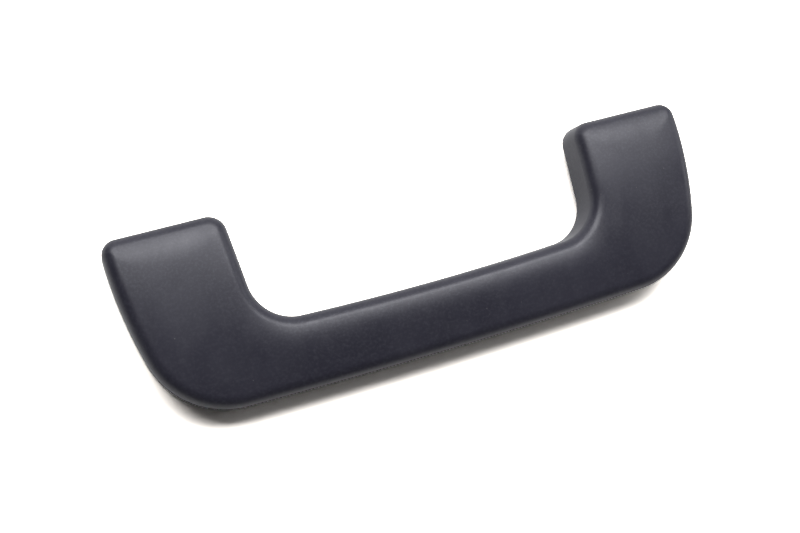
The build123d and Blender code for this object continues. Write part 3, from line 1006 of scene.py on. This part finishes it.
    def sunk(self, grid: np.ndarray, ring: np.ndarray, lean: np.ndarray) -> np.ndarray:
        """Share of the shoulder's drop at each point of a plan grid, easing to nothing inside.

        Args:
            grid: The grid's points, whose border is the ring.
            ring: The ring.
            lean: Share of the shoulder's tilt along the ring.

        Returns:
            The share, largest on the ring and 0 from the shoulder's reach inwards.
        """
        along = np.roll(ring, -1, 0) - ring
        square = (along**2).sum(1)
        ahead = np.roll(lean, -1)
        share = np.empty(grid.shape[:2])
        for row, points in enumerate(grid):
            away = points[:, None] - ring[None]
            part = np.clip((away * along).sum(2) / square, 0, 1)
            near = np.linalg.norm(away - part[..., None] * along, axis=2)
            here = lean * (1 - part) + ahead * part
            rest = np.clip(1 - near / self.shoulder_reach, 0, 1)
            share[row] = (here * rest**self.shoulder_power).max(1)
        return share

    def patch(self, ring: np.ndarray) -> np.ndarray:
        """Fills a closed ring with a grid from its outer long side to its inner long side.

        Args:
            ring: The ring, starting in the middle of the right outer top corner.

        Returns:
            The grid's points, one row for each step across.
        """
        across = self.across
        long_side = (len(ring) - 2 * across) // 2
        right_end = ring[: across + 1]
        inner = ring[across : across + long_side + 1]
        left_end = ring[across + long_side : 2 * across + long_side + 1][::-1]
        outer = np.concatenate([ring[2 * across + long_side :], ring[:1]])[::-1]
        s = np.linspace(0, 1, long_side + 1)[None, :, None]
        t = np.linspace(0, 1, across + 1)[:, None, None]
        along = (1 - t) * outer[None] + t * inner[None]
        aside = (1 - s) * right_end[:, None] + s * left_end[:, None]
        near_corners = (1 - s) * (1 - t) * outer[0] + s * (1 - t) * outer[-1]
        far_corners = (1 - s) * t * inner[0] + s * t * inner[-1]
        return along + aside - (near_corners + far_corners)

    @staticmethod
    def section_rows(rim: int, wall: int, edge: int) -> list[Triple]:
        """Steps along the section, from the open rim up the wall and round the edge.

        Args:
            rim: Steps round the rim, or 0 for a skin that starts above it.
            wall: Steps up the wall.
            edge: Steps round the edge.

        Returns:
            Shares of the rim's turn, the wall's run and the edge's turn.
        """
        rows = [(0.0 if rim else 1.0, 0.0, 0.0)]
        rows += [(step / rim, 0.0, 0.0) for step in range(1, rim + 1)]
        rows += [(1.0, step / wall, 0.0) for step in range(1, wall + 1)]
        return rows + [(1.0, 1.0, step / edge) for step in range(1, edge + 1)]

    def add_front(self, pattern: Pattern, points: np.ndarray, lean: np.ndarray,
                  last: int, inset: float) -> None:
        """Fills the last ring of a skin with a plan grid.

        Args:
            pattern: The pattern to add to.
            points: The outline.
            lean: Share of the shoulder's tilt along it.
            last: First vertex of the skin's last ring.
            inset: How far the skin lies inside the outer one.
        """
        ring = self.front_ring(points, self.outward(points), lean, inset)
        grid = self.patch(ring)
        steps, length, number = grid.shape[0] - 1, grid.shape[1] - 1, len(points)
        sunk = self.sunk(grid, ring, lean)[1:-1, 1:-1].reshape(-1)
        inside = grid[1:-1, 1:-1].reshape(-1, 2)
        first = pattern.keep(inside, front=1.0, inner=float(inset > 0), sunk=sunk)

        def index(i: int, j: int) -> int:
            """Vertex of the grid, whose border is the ring.

            Args:
                i: Steps from the outer long side.
                j: Steps from the right end.

            Returns:
                The vertex's index.
            """
            if j == 0:
                return last + i
            if j == length:
                return last + (2 * steps + length - i) % number
            if i == 0:
                return last + (number - j) % number
            if i == steps:
                return last + steps + j
            return first + (i - 1) * (length - 1) + j - 1

        for i in range(steps):
            for j in range(length):
                quad = (index(i, j), index(i + 1, j), index(i + 1, j + 1), index(i, j + 1))
                pattern.faces.append(quad[::-1] if inset > 0 else quad)

    def pattern(self) -> Pattern:
        """Lays out what the rule raises: rings of the outline and two plan grids.

        Returns:
            A pattern whose vertices carry their outward direction and their place on the section.
        """
        points = self.outline()
        out = self.outward(points)
        lean = self.lean_share(points, out)
        pattern = Pattern(self.marks)
        skins = ((self.outer_steps, 0.0), (self.inner_steps, self.wall))
        starts: list[list[int]] = []
        for steps, inset in skins:
            along = {"out_x": out[:, 0], "out_y": out[:, 1], "lean": lean, "inner": float(inset > 0)}
            rows = [dict(zip(self.marks[2:5], row)) for row in self.section_rows(*steps)]
            starts.append([pattern.keep(points, **along, **row) for row in rows])
        for (_, inset), rings in zip(skins, starts):
            for low, high in zip(rings, rings[1:]):
                pattern.band(low, high, len(points), flip=inset > 0)
        outer, inner = starts
        pattern.band(inner[0], outer[0], len(points))
        for (_, inset), rings in zip(skins, starts):
            self.add_front(pattern, points, lean, rings[-1], inset)
        return pattern

    def raised(self, rule: RuleTree) -> bpy.types.NodeSocket:
        """Writes the rule that raises the pattern: rim, wall and edge round the outline, and the bowed front.

        Args:
            rule: The tree to write it in.

        Returns:
            The socket of each vertex's place in the frame.
        """
        height, bow, edge, drop, rim, wall = rule.sizes(
            self, "handle_height", "front_bow", "edge_radius", "shoulder_drop", "rim_radius", "wall"
        )
        at_hinge, at_grip, from_top, from_front = rule.sizes(
            self, "depth_at_hinge", "depth_at_grip", "pivot_from_top", "pivot_from_front"
        )
        shoulder = rule.size("Shoulder Tilt", math.radians(self.shoulder_tilt))
        draft = rule.size("Draft", math.radians(self.draft))
        x, y, _ = rule.place()
        out_x, out_y, rim_turn, wall_run, edge_turn, *others = map(rule.attribute, self.marks)
        inner, lean, front, sunk = others
        sine, cosine = rule.sine, rule.cosine
        bow_radius = (height * height / 4.0 + bow * bow) / (2.0 * bow)

        def front_fall(at: Formula) -> tuple[Formula, Formula]:
            """Place on the front's bow.

            Args:
                at: Distance from the hinged edge.

            Returns:
                The distance from the bow's middle, and the height over the bow's centre.
            """
            offset = at + height / 2.0
            return offset, rule.math("SQRT", bow_radius * bow_radius - offset * offset)

        def edge_at(reach: Formula) -> tuple[Formula, Formula, Formula]:
            """Place of the edge's rounding, where it meets the front.

            Args:
                reach: How far out the meeting line is taken to lie.

            Returns:
                The front's slope there, then the height of the rounding's centre and how far out it lies.
            """
            offset, fall = front_fall(y + out_y * reach)
            turn = rule.math("ARCTANGENT", offset / fall * out_y) + shoulder * lean
            middle = bow - bow_radius + fall - drop * lean - edge * cosine(turn)
            return turn, middle, (0.0 - edge * (1.0 + sine(draft)) - middle * sine(draft)) / cosine(draft)

        turn, _, edge_out = edge_at(edge * (sine(shoulder * lean) - 1.0))
        turn, edge_z, edge_out = edge_at(edge_out + edge * sine(turn))
        skin = edge - inner * wall
        rim_z = 0.0 - at_hinge - (at_grip - at_hinge) * (0.0 - y) / height
        rim_round = rim * (1.0 - inner)
        rim_centre_z = rim_z + rim_round
        inset = inner * wall / cosine(draft)
        rim_centre = (0.0 - rim_round - (rim_centre_z + edge) * sine(draft)) / cosine(draft) - inset
        rim_angle = (draft + math.pi / 2) * rim_turn - math.pi / 2
        edge_angle = draft + edge_turn * (math.pi / 2 - turn - draft)
        wall_out = edge_out + skin * cosine(draft) - rim_centre - rim_round * cosine(draft)
        wall_z = edge_z + skin * sine(draft) - rim_centre_z - rim_round * sine(draft)
        on_edge = rule.math("GREATER_THAN", edge_turn, 0.0)
        out = rim_centre + rim_round * cosine(rim_angle) + wall_run * wall_out
        out = out + skin * (cosine(edge_angle) - cosine(draft)) * on_edge
        out = out * (1.0 - front)
        up = rim_centre_z + rim_round * sine(rim_angle) + wall_run * wall_z
        up = up + skin * (sine(edge_angle) - sine(draft)) * on_edge
        _, fall = front_fall(y)
        on_front = bow - bow_radius + fall - inner * wall - drop * sunk
        z = up + (on_front - up) * front
        return HandlePlane(rule).place(x + out_x * out, from_top + (y + out_y * out), from_front + z)

    def build(self, finishes: Finishes) -> bpy.types.Object:
        """Raises the pattern into the shell and lets it stand for the frame's shell.

        Args:
            finishes: The finishes to take the soft-touch paint from.

        Returns:
            The finished shell.
        """
        rule = RuleTree("grip_shell_rule")
        moved = rule.moved(rule.geometry, self.raised(rule))
        rule.finish(moved, finishes.by_slot["soft_touch"])
        shell = rule.apply("grip_shell", self.pattern())
        hand_over(shell, Body.HANDLE, "grip_cover")
        return shell


# What the shell hides


@dataclass
class SoftenedPart:
    """A node's own shape with its sharp edges lightly broken, as moulded and cast parts leave the tool."""

    node: str
    slot: str
    body: Body
    break_size: float
    crease: float = 32.0
    flat: float = 0.8
    smooth_factor: float = 1.3

    def softened(self, source: bpy.types.Mesh) -> bpy.types.Mesh:
        """Merges a copy of the mesh and breaks its sharp edges.

        Args:
            source: The node's mesh, which stays as it is.

        Returns:
            The new mesh.
        """
        work = bmesh.new()
        work.from_mesh(source)
        bmesh.ops.remove_doubles(work, verts=work.verts, dist=MERGE)
        flat = math.radians(self.flat)
        bmesh.ops.dissolve_limit(work, angle_limit=flat, verts=work.verts, edges=work.edges)
        bmesh.ops.recalc_face_normals(work, faces=work.faces)
        crease = math.radians(self.crease)
        sharp = [e for e in work.edges if len(e.link_faces) == 2 and e.calc_face_angle(0.0) > crease]
        bmesh.ops.bevel(
            work, geom=sharp, offset=self.break_size * MM, offset_type="OFFSET", segments=2, profile=0.5,
            affect="EDGES", clamp_overlap=False, miter_outer="SHARP", miter_inner="SHARP",
        )
        bmesh.ops.triangulate(work, faces=work.faces)
        bmesh.ops.remove_doubles(work, verts=work.verts, dist=2 * MERGE)
        bmesh.ops.recalc_face_normals(work, faces=work.faces)
        for edge in work.edges:
            open_edge = len(edge.link_faces) != 2
            edge.smooth = open_edge or edge.calc_face_angle(0.0) < crease * self.smooth_factor
        for face in work.faces:
            face.smooth = True
        mesh = bpy.data.meshes.new(f"{self.node}_soft")
        work.to_mesh(mesh)
        work.free()
        return mesh

    def build(self, finishes: Finishes, nodes: dict[str, bpy.types.Object]) -> bpy.types.Object:
        """Lets the softened copy stand for the node.

        Args:
            finishes: The finishes of the handle.
            nodes: The frame's nodes by name.

        Returns:
            The finished piece.
        """
        mesh = self.softened(nodes[self.node].data)
        mesh.materials.clear()
        mesh.materials.append(finishes.by_slot[self.slot])
        piece = linked(mesh.name, mesh)
        hand_over(piece, self.body, self.node)
        return piece


@dataclass
class GripScrews:
    """The row of pan-head screws that are driven into the shell from behind, in millimetres."""

    spacing: float
    row: float
    count: int = 6
    seat: float = -4.1
    head_radius: float = 3.0
    head_height: float = 1.9
    head_round: float = 0.63
    round_steps: int = 6
    shank_radius: float = 1.45
    shank_length: float = 8.5
    tip_share: float = 0.5
    thread_pitch: float = 1.15
    thread_depth: float = 0.3
    ridge_power: float = 1.6
    steps_per_pitch: int = 8
    drive_radius: float = 1.35
    drive_depth: float = 1.1
    drive_lobes: int = 6
    lobe_depth: float = 0.14
    recess: tuple[tuple[float, float], ...] = ((1.08, 0.0), (1.0, 0.08), (0.94, 0.9), (0.8, 1.0))
    sharp_from: float = 40.0
    around: int = 48
    marks: tuple[str, ...] = ("turn", "head", "drive", "thread", "across", "along")

    def section(self) -> list[tuple[float, ...]]:
        """Steps along a screw's section, from the tip up the thread and over the head into the recess.

        Returns:
            Shares of head, drive and thread, then of the radius and the length.
        """
        rows: list[tuple[float, ...]] = [(0.0, 0.0, 1.0, self.tip_share, 1.0)]
        steps = round(self.shank_length / self.thread_pitch * self.steps_per_pitch)
        bevel = self.shank_radius / 2 / self.shank_length
        for step in range(1, steps + 1):
            along = 1 - step / steps
            rows.append((0.0, 0.0, 1.0, min(1.0, self.tip_share + (1 - along) / bevel / 2), along))
        rows += [(1.0, 0.0, 0.0, 1.0, 0.0), (1.0, 0.0, 0.0, 1.0, 1 - self.head_round / self.head_height)]
        for step in range(1, self.round_steps + 1):
            angle = math.pi / 2 / self.round_steps * step
            across = (self.head_radius - self.head_round * (1 - math.cos(angle))) / self.head_radius
            along = (self.head_height - self.head_round * (1 - math.sin(angle))) / self.head_height
            rows.append((1.0, 0.0, 0.0, across, along))
        return rows + [(0.0, 1.0, 0.0, across, along) for across, along in self.recess]

    def pattern(self) -> Pattern:
        """Lays out the rings of one screw and closes both ends.

        Returns:
            The pattern, inside out: the faces are turned outwards once the screws are set.
        """
        pattern = Pattern(self.marks)
        number = self.around
        rings = [pattern.ring(number, **dict(zip(self.marks[1:], row))) for row in self.section()]
        for low, high in zip(rings, rings[1:]):
            pattern.band(low, high, number)
        tip = pattern.ring(1, thread=1.0, along=1.0)
        floor = pattern.ring(1, drive=1.0, along=1.0)
        for here in range(number):
            ahead = (here + 1) % number
            pattern.faces.append((ahead, here, tip))
            pattern.faces.append((rings[-1] + here, rings[-1] + ahead, floor))
        return pattern

    def turn_outwards(self, mesh: bpy.types.Mesh) -> None:
        """Turns the faces outwards and marks the sharp edges.

        Args:
            mesh: The screws' mesh.
        """
        work = bmesh.new()
        work.from_mesh(mesh)
        bmesh.ops.recalc_face_normals(work, faces=work.faces)
        for edge in work.edges:
            edge.smooth = edge.calc_face_angle(0.0) < math.radians(self.sharp_from)
        work.to_mesh(mesh)
        work.free()

    def build(self, finishes: Finishes) -> bpy.types.Object:
        """Shapes one screw by the rule, sets it along the row and lets it stand for the frame's screws.

        Args:
            finishes: The finishes of the handle.

        Returns:
            The finished screws.
        """
        rule = RuleTree("grip_screw_rule")
        count = rule.count("Count", self.count)
        spacing, row, seat, head_radius, head_height = rule.sizes(
            self, "spacing", "row", "seat", "head_radius", "head_height"
        )
        shank_radius, shank_length, pitch, depth = rule.sizes(
            self, "shank_radius", "shank_length", "thread_pitch", "thread_depth"
        )
        drive_radius, drive_depth, lobes = rule.sizes(self, "drive_radius", "drive_depth", "drive_lobes")
        turn, head, drive, thread, across, along = map(rule.attribute, self.marks)
        climb = along * shank_length / pitch + turn / (2 * math.pi)
        ridge = rule.math("PINGPONG", climb, 0.5) * 2.0
        groove = depth * (1.0 - rule.math("POWER", ridge, self.ridge_power))
        lobe = 1.0 + self.lobe_depth * rule.cosine(turn * lobes)
        radius = head * head_radius * across + drive * drive_radius * across * lobe
        radius = radius + thread * (shank_radius - groove) * across
        level = seat - head * head_height * along - drive * (head_height - drive_depth * along)
        level = level + thread * shank_length * along
        place = HandlePlane(rule).place(radius * rule.cosine(turn), row + radius * rule.sine(turn), level)
        screw = rule.moved(rule.geometry, place)
        gaps = Formula(rule, count) - 1.0
        start = rule.vector(gaps * spacing * (-0.5 * MM), 0.0, 0.0)
        step = rule.vector(spacing * MM, 0.0, 0.0)
        line = rule.node("GeometryNodeMeshLine", Count=count, Start_Location=start, Offset=step)
        rule.finish(rule.spread(line.outputs[0], screw), finishes.by_slot["zinc_steel"])
        piece = rule.apply("grip_screw_row", self.pattern())
        self.turn_outwards(piece.data)
        hand_over(piece, Body.HANDLE, "grip_screws")
        return piece


@dataclass
class MouldMarks:
    """Faint round witness marks that the mould's pins leave on the back of the inner half, in millimetres."""

    spacing: float
    row: float
    count: int = 5
    middle_level: float = -8.5
    end_level: float = -6.5
    ring_radius: float = 2.4
    ring_width: float = 0.35
    ring_height: float = 0.09
    profile: tuple[tuple[float, float], ...] = ((-1.0, -1.0), (-0.6, 1.0), (0.6, 1.0), (1.0, -1.0))
    around: int = 48
    marks: tuple[str, ...] = ("turn", "out", "proud")

    def pattern(self) -> Pattern:
        """Lays out the rings round one closed band.

        Returns:
            The pattern of one mark.
        """
        pattern = Pattern(self.marks)
        rings = [pattern.ring(self.around, out=out, proud=proud) for out, proud in self.profile]
        for low, high in zip(rings, rings[1:] + rings[:1]):
            pattern.band(low, high, self.around)
        return pattern

    def build(self, finishes: Finishes) -> bpy.types.Object:
        """Shapes one ring by the rule and sets it between the screws.

        Args:
            finishes: The finishes of the handle.

        Returns:
            The finished marks.
        """
        rule = RuleTree("mould_mark_rule")
        count = rule.count("Count", self.count)
        spacing, row = rule.sizes(self, "spacing", "row")
        middle_level, end_level = rule.sizes(self, "middle_level", "end_level")
        radius, width, height = rule.sizes(self, "ring_radius", "ring_width", "ring_height")
        plane = HandlePlane(rule)
        turn, out, proud = map(rule.attribute, self.marks)
        reach = radius + out * width / 2.0
        rise = (0.0 - proud) * height
        place = plane.place(reach * rule.cosine(turn), reach * rule.sine(turn), rise, from_hinge=False)
        mark = rule.moved(rule.geometry, place)
        middle = (Formula(rule, count) - 1.0) / 2.0
        line = rule.node("GeometryNodeMeshLine", Count=count)
        number = Formula(rule, rule.node("GeometryNodeInputIndex").outputs[0]) - middle
        at_end = rule.math("GREATER_THAN", rule.math("ABSOLUTE", number), middle - 0.5)
        level = middle_level + (end_level - middle_level) * at_end
        spots = rule.moved(line.outputs[0], plane.place(number * spacing, row, level))
        rule.finish(rule.spread(spots, mark), finishes.by_slot["soft_touch_back"])
        piece = rule.apply("mould_marks", self.pattern())
        hand_over(piece, Body.HANDLE)
        return piece


@dataclass
class InnerHalf:
    """The stiff inner half behind the shell, with its screws and the mould's marks between them."""

    break_size: float = 0.2
    screw_spacing: float = 37.0
    screw_row: float = -50.6

    def build(self, finishes: Finishes, nodes: dict[str, bpy.types.Object]) -> None:
        """Makes the inner half, its marks and its screws.

        Args:
            finishes: The finishes of the handle.
            nodes: The frame's nodes by name.
        """
        SoftenedPart("grip_back", "soft_touch_back", Body.HANDLE, self.break_size).build(finishes, nodes)
        MouldMarks(self.screw_spacing, self.screw_row).build(finishes)
        GripScrews(self.screw_spacing, self.screw_row).build(finishes)


@dataclass
class HingeBracket:
    """One hinge bracket with its bolt cover, bushes, pin and rubber stops."""

    side: Side
    cast_break: float = 0.3
    cover_break: float = 0.2
    turned_break: float = 0.12
    stop_break: float = 0.25

    def build(self, finishes: Finishes, nodes: dict[str, bpy.types.Object]) -> None:
        """Makes the bracket, its cover and the small parts on its pin.

        Args:
            finishes: The finishes of the handle.
            nodes: The frame's nodes by name.
        """
        word = self.side.word
        pieces = [
            (f"bracket_{word}", "cast_zinc", Body.BRACKETS, self.cast_break),
            (f"bolt_cover_{word}", "black_plastic", Body.BRACKETS, self.cover_break),
            (f"pivot_pin_{word}", "pin_steel", Body.HANDLE, self.turned_break),
        ]
        for place in ("inner", "outer"):
            pieces.append((f"bush_{word}_{place}", "bush_plastic", Body.BRACKETS, self.turned_break))
        for way in ("closed", "open"):
            pieces.append((f"{way}_stop_{word}", "stop_rubber", Body.BRACKETS, self.stop_break))
        for piece in pieces:
            SoftenedPart(*piece).build(finishes, nodes)


@dataclass
class SpringAndDamper:
    """The return spring on the left pin and the rotary damper on the right one."""

    case_break: float = 0.12

    def build(self, finishes: Finishes, nodes: dict[str, bpy.types.Object]) -> None:
        """Makes the damper and the sleeve, and dresses the spring and the seal.

        Args:
            finishes: The finishes of the handle.
            nodes: The frame's nodes by name.
        """
        for name, slot, body in (
            ("damper_housing", "black_plastic", Body.BRACKETS),
            ("damper_cap", "black_plastic", Body.BRACKETS),
            ("damper_rotor", "bush_plastic", Body.HANDLE),
            ("spring_sleeve", "bush_plastic", Body.BRACKETS),
        ):
            SoftenedPart(name, slot, body, self.case_break).build(finishes, nodes)
        finishes.dress(nodes["return_spring"], "spring_steel")
        finishes.dress(nodes["damper_seal"], "stop_rubber")


# The studio


@dataclass(frozen=True)
class SoftLamp:
    """A soft rectangular lamp that faces the handle, with lengths in metres and its power in watts."""

    name: str
    place: Triple
    width: float
    depth: float
    power: float
    target: Triple = (0.0, 0.0, 0.01)

    def build(self) -> None:
        """Hangs the lamp and points it."""
        data = bpy.data.lights.new(self.name, "AREA")
        data.shape = "RECTANGLE"
        data.size, data.size_y = self.width, self.depth
        data.energy = self.power
        lamp = linked(self.name, data)
        lamp.location = self.place
        away = Vector(self.place) - Vector(self.target)
        lamp.rotation_euler = away.to_track_quat("Z", "Y").to_euler()


@dataclass
class Studio:
    """Pale floor, soft lamps and the camera, in metres."""

    camera_place: Triple = (-0.114277, -0.069541, 0.402615)
    camera_right: Triple = (0.933977, -0.30393, 0.187918)
    camera_up: Triple = (0.256497, 0.936371, 0.23962)
    focal_px: float = 1000.0
    picture_width: float = 800.0
    sensor_width: float = 36.0
    clip: tuple[float, float] = (0.01, 50.0)
    floor_size: float = 6.0
    floor_drop: float = 0.0003
    floor_gain: float = 3.5
    floor_tint: Triple = (1.0, 0.955, 0.9)
    floor_colour: Triple = (0.86, 0.86, 0.86)
    shadow_reach: float = 0.35
    ambient: float = 0.02
    lamps: tuple[SoftLamp, ...] = (
        SoftLamp("softbox", (0.12, 0.58, 1.13), 1.5, 0.6, 21.5),
        SoftLamp("back_panel", (0.1, 1.15, 0.45), 2.0, 0.7, 4.0),
        SoftLamp("side_panel", (1.1, 0.15, 0.5), 0.7, 0.5, 2.2),
    )

    @staticmethod
    def plain(tree: bpy.types.NodeTree, kind: str, colour: Triple) -> bpy.types.NodeSocket:
        """Adds a shader of one colour.

        Args:
            tree: The material's tree.
            kind: Type name of the shader.
            colour: Its colour.

        Returns:
            The shader's socket.
        """
        made = tree.nodes.new(kind)
        made.inputs["Color"].default_value = (*colour, 1.0)
        return made.outputs[0]

    @staticmethod
    def mixed(tree: bpy.types.NodeTree, *parts: bpy.types.NodeSocket) -> bpy.types.NodeSocket:
        """Mixes two shaders.

        Args:
            tree: The material's tree.
            parts: The second shader's share, then the two shaders.

        Returns:
            The mixed shader's socket.
        """
        made = tree.nodes.new("ShaderNodeMixShader")
        for target, part in zip(made.inputs, parts):
            tree.links.new(part, target)
        return made.outputs[0]

    def floor_material(self) -> bpy.types.Material:
        """Makes the floor's material.

        Returns:
            The material: white with the handle's shadow to the camera, plain white beyond the shadow's
            reach, and pale to every other ray.
        """
        material = bpy.data.materials.new("studio_floor")
        material.use_nodes = True
        tree = material.node_tree
        tree.nodes.clear()
        bright = tuple(self.floor_gain * part for part in self.floor_tint)
        shown = self.plain(tree, "ShaderNodeBsdfDiffuse", bright)
        lit = self.plain(tree, "ShaderNodeBsdfDiffuse", self.floor_colour)
        far = self.plain(tree, "ShaderNodeEmission", (1.0, 1.0, 1.0))
        length = tree.nodes.new("ShaderNodeVectorMath")
        length.operation = "LENGTH"
        tree.links.new(tree.nodes.new("ShaderNodeTexCoord").outputs["Object"], length.inputs[0])
        away = tree.nodes.new("ShaderNodeMapRange")
        away.interpolation_type = "SMOOTHSTEP"
        away.inputs["From Min"].default_value = self.shadow_reach
        away.inputs["From Max"].default_value = self.shadow_reach * 2
        tree.links.new(length.outputs["Value"], away.inputs["Value"])
        seen = self.mixed(tree, away.outputs["Result"], shown, far)
        to_camera = tree.nodes.new("ShaderNodeLightPath").outputs["Is Camera Ray"]
        output = tree.nodes.new("ShaderNodeOutputMaterial")
        tree.links.new(self.mixed(tree, to_camera, lit, seen), output.inputs["Surface"])
        return material

    def floor(self) -> None:
        """Lays the floor just under the feet."""
        half = self.floor_size / 2
        corners = [(-half, -half, 0), (half, -half, 0), (half, half, 0), (-half, half, 0)]
        mesh = bpy.data.meshes.new("floor")
        mesh.from_pydata(corners, [], [(0, 1, 2, 3)])
        mesh.materials.append(self.floor_material())
        floor = linked("floor", mesh)
        floor.location.z = -self.floor_drop

    def world(self) -> None:
        """Sets the even light of the room, white where it is seen directly."""
        world = bpy.data.worlds.new("studio")
        world.use_nodes = True
        tree = world.node_tree
        background = next(n for n in tree.nodes if n.type == "BACKGROUND")
        background.inputs["Color"].default_value = (1, 1, 1, 1)
        path = tree.nodes.new("ShaderNodeLightPath")
        shown = tree.nodes.new("ShaderNodeMapRange")
        shown.inputs["To Min"].default_value = self.ambient
        shown.inputs["To Max"].default_value = 1.0
        tree.links.new(path.outputs["Is Camera Ray"], shown.inputs["Value"])
        tree.links.new(shown.outputs["Result"], background.inputs["Strength"])
        bpy.context.scene.world = world

    def camera(self) -> None:
        """Places the camera at the photograph's viewing angle."""
        right, up = Vector(self.camera_right), Vector(self.camera_up)
        right.normalize()
        back = right.cross(up).normalized()
        up = back.cross(right)
        data = bpy.data.cameras.new("camera")
        data.sensor_width = self.sensor_width
        data.lens = self.sensor_width * self.focal_px / self.picture_width
        data.clip_start, data.clip_end = self.clip
        camera = linked("camera", data)
        turn = Matrix((right, up, back)).transposed().to_4x4()
        camera.matrix_world = Matrix.Translation(self.camera_place) @ turn
        bpy.context.scene.camera = camera

    def build(self) -> None:
        """Makes the floor, the lamps, the world and the camera."""
        bpy.context.scene.view_settings.view_transform = "Standard"
        self.floor()
        for lamp in self.lamps:
            lamp.build()
        self.world()
        self.camera()
        LOG.info("studio")


def main() -> None:
    """Builds and dresses the handle, then the studio."""
    logging.basicConfig(level=logging.INFO, format="%(message)s")
    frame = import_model()
    nodes = frame["nodes"]
    finishes = Finishes()
    GripShell().build(finishes)
    InnerHalf().build(finishes, nodes)
    for side in Side:
        HingeBracket(side).build(finishes, nodes)
    SpringAndDamper().build(finishes, nodes)
    Studio().build()


if __name__ == "__main__":
    main()
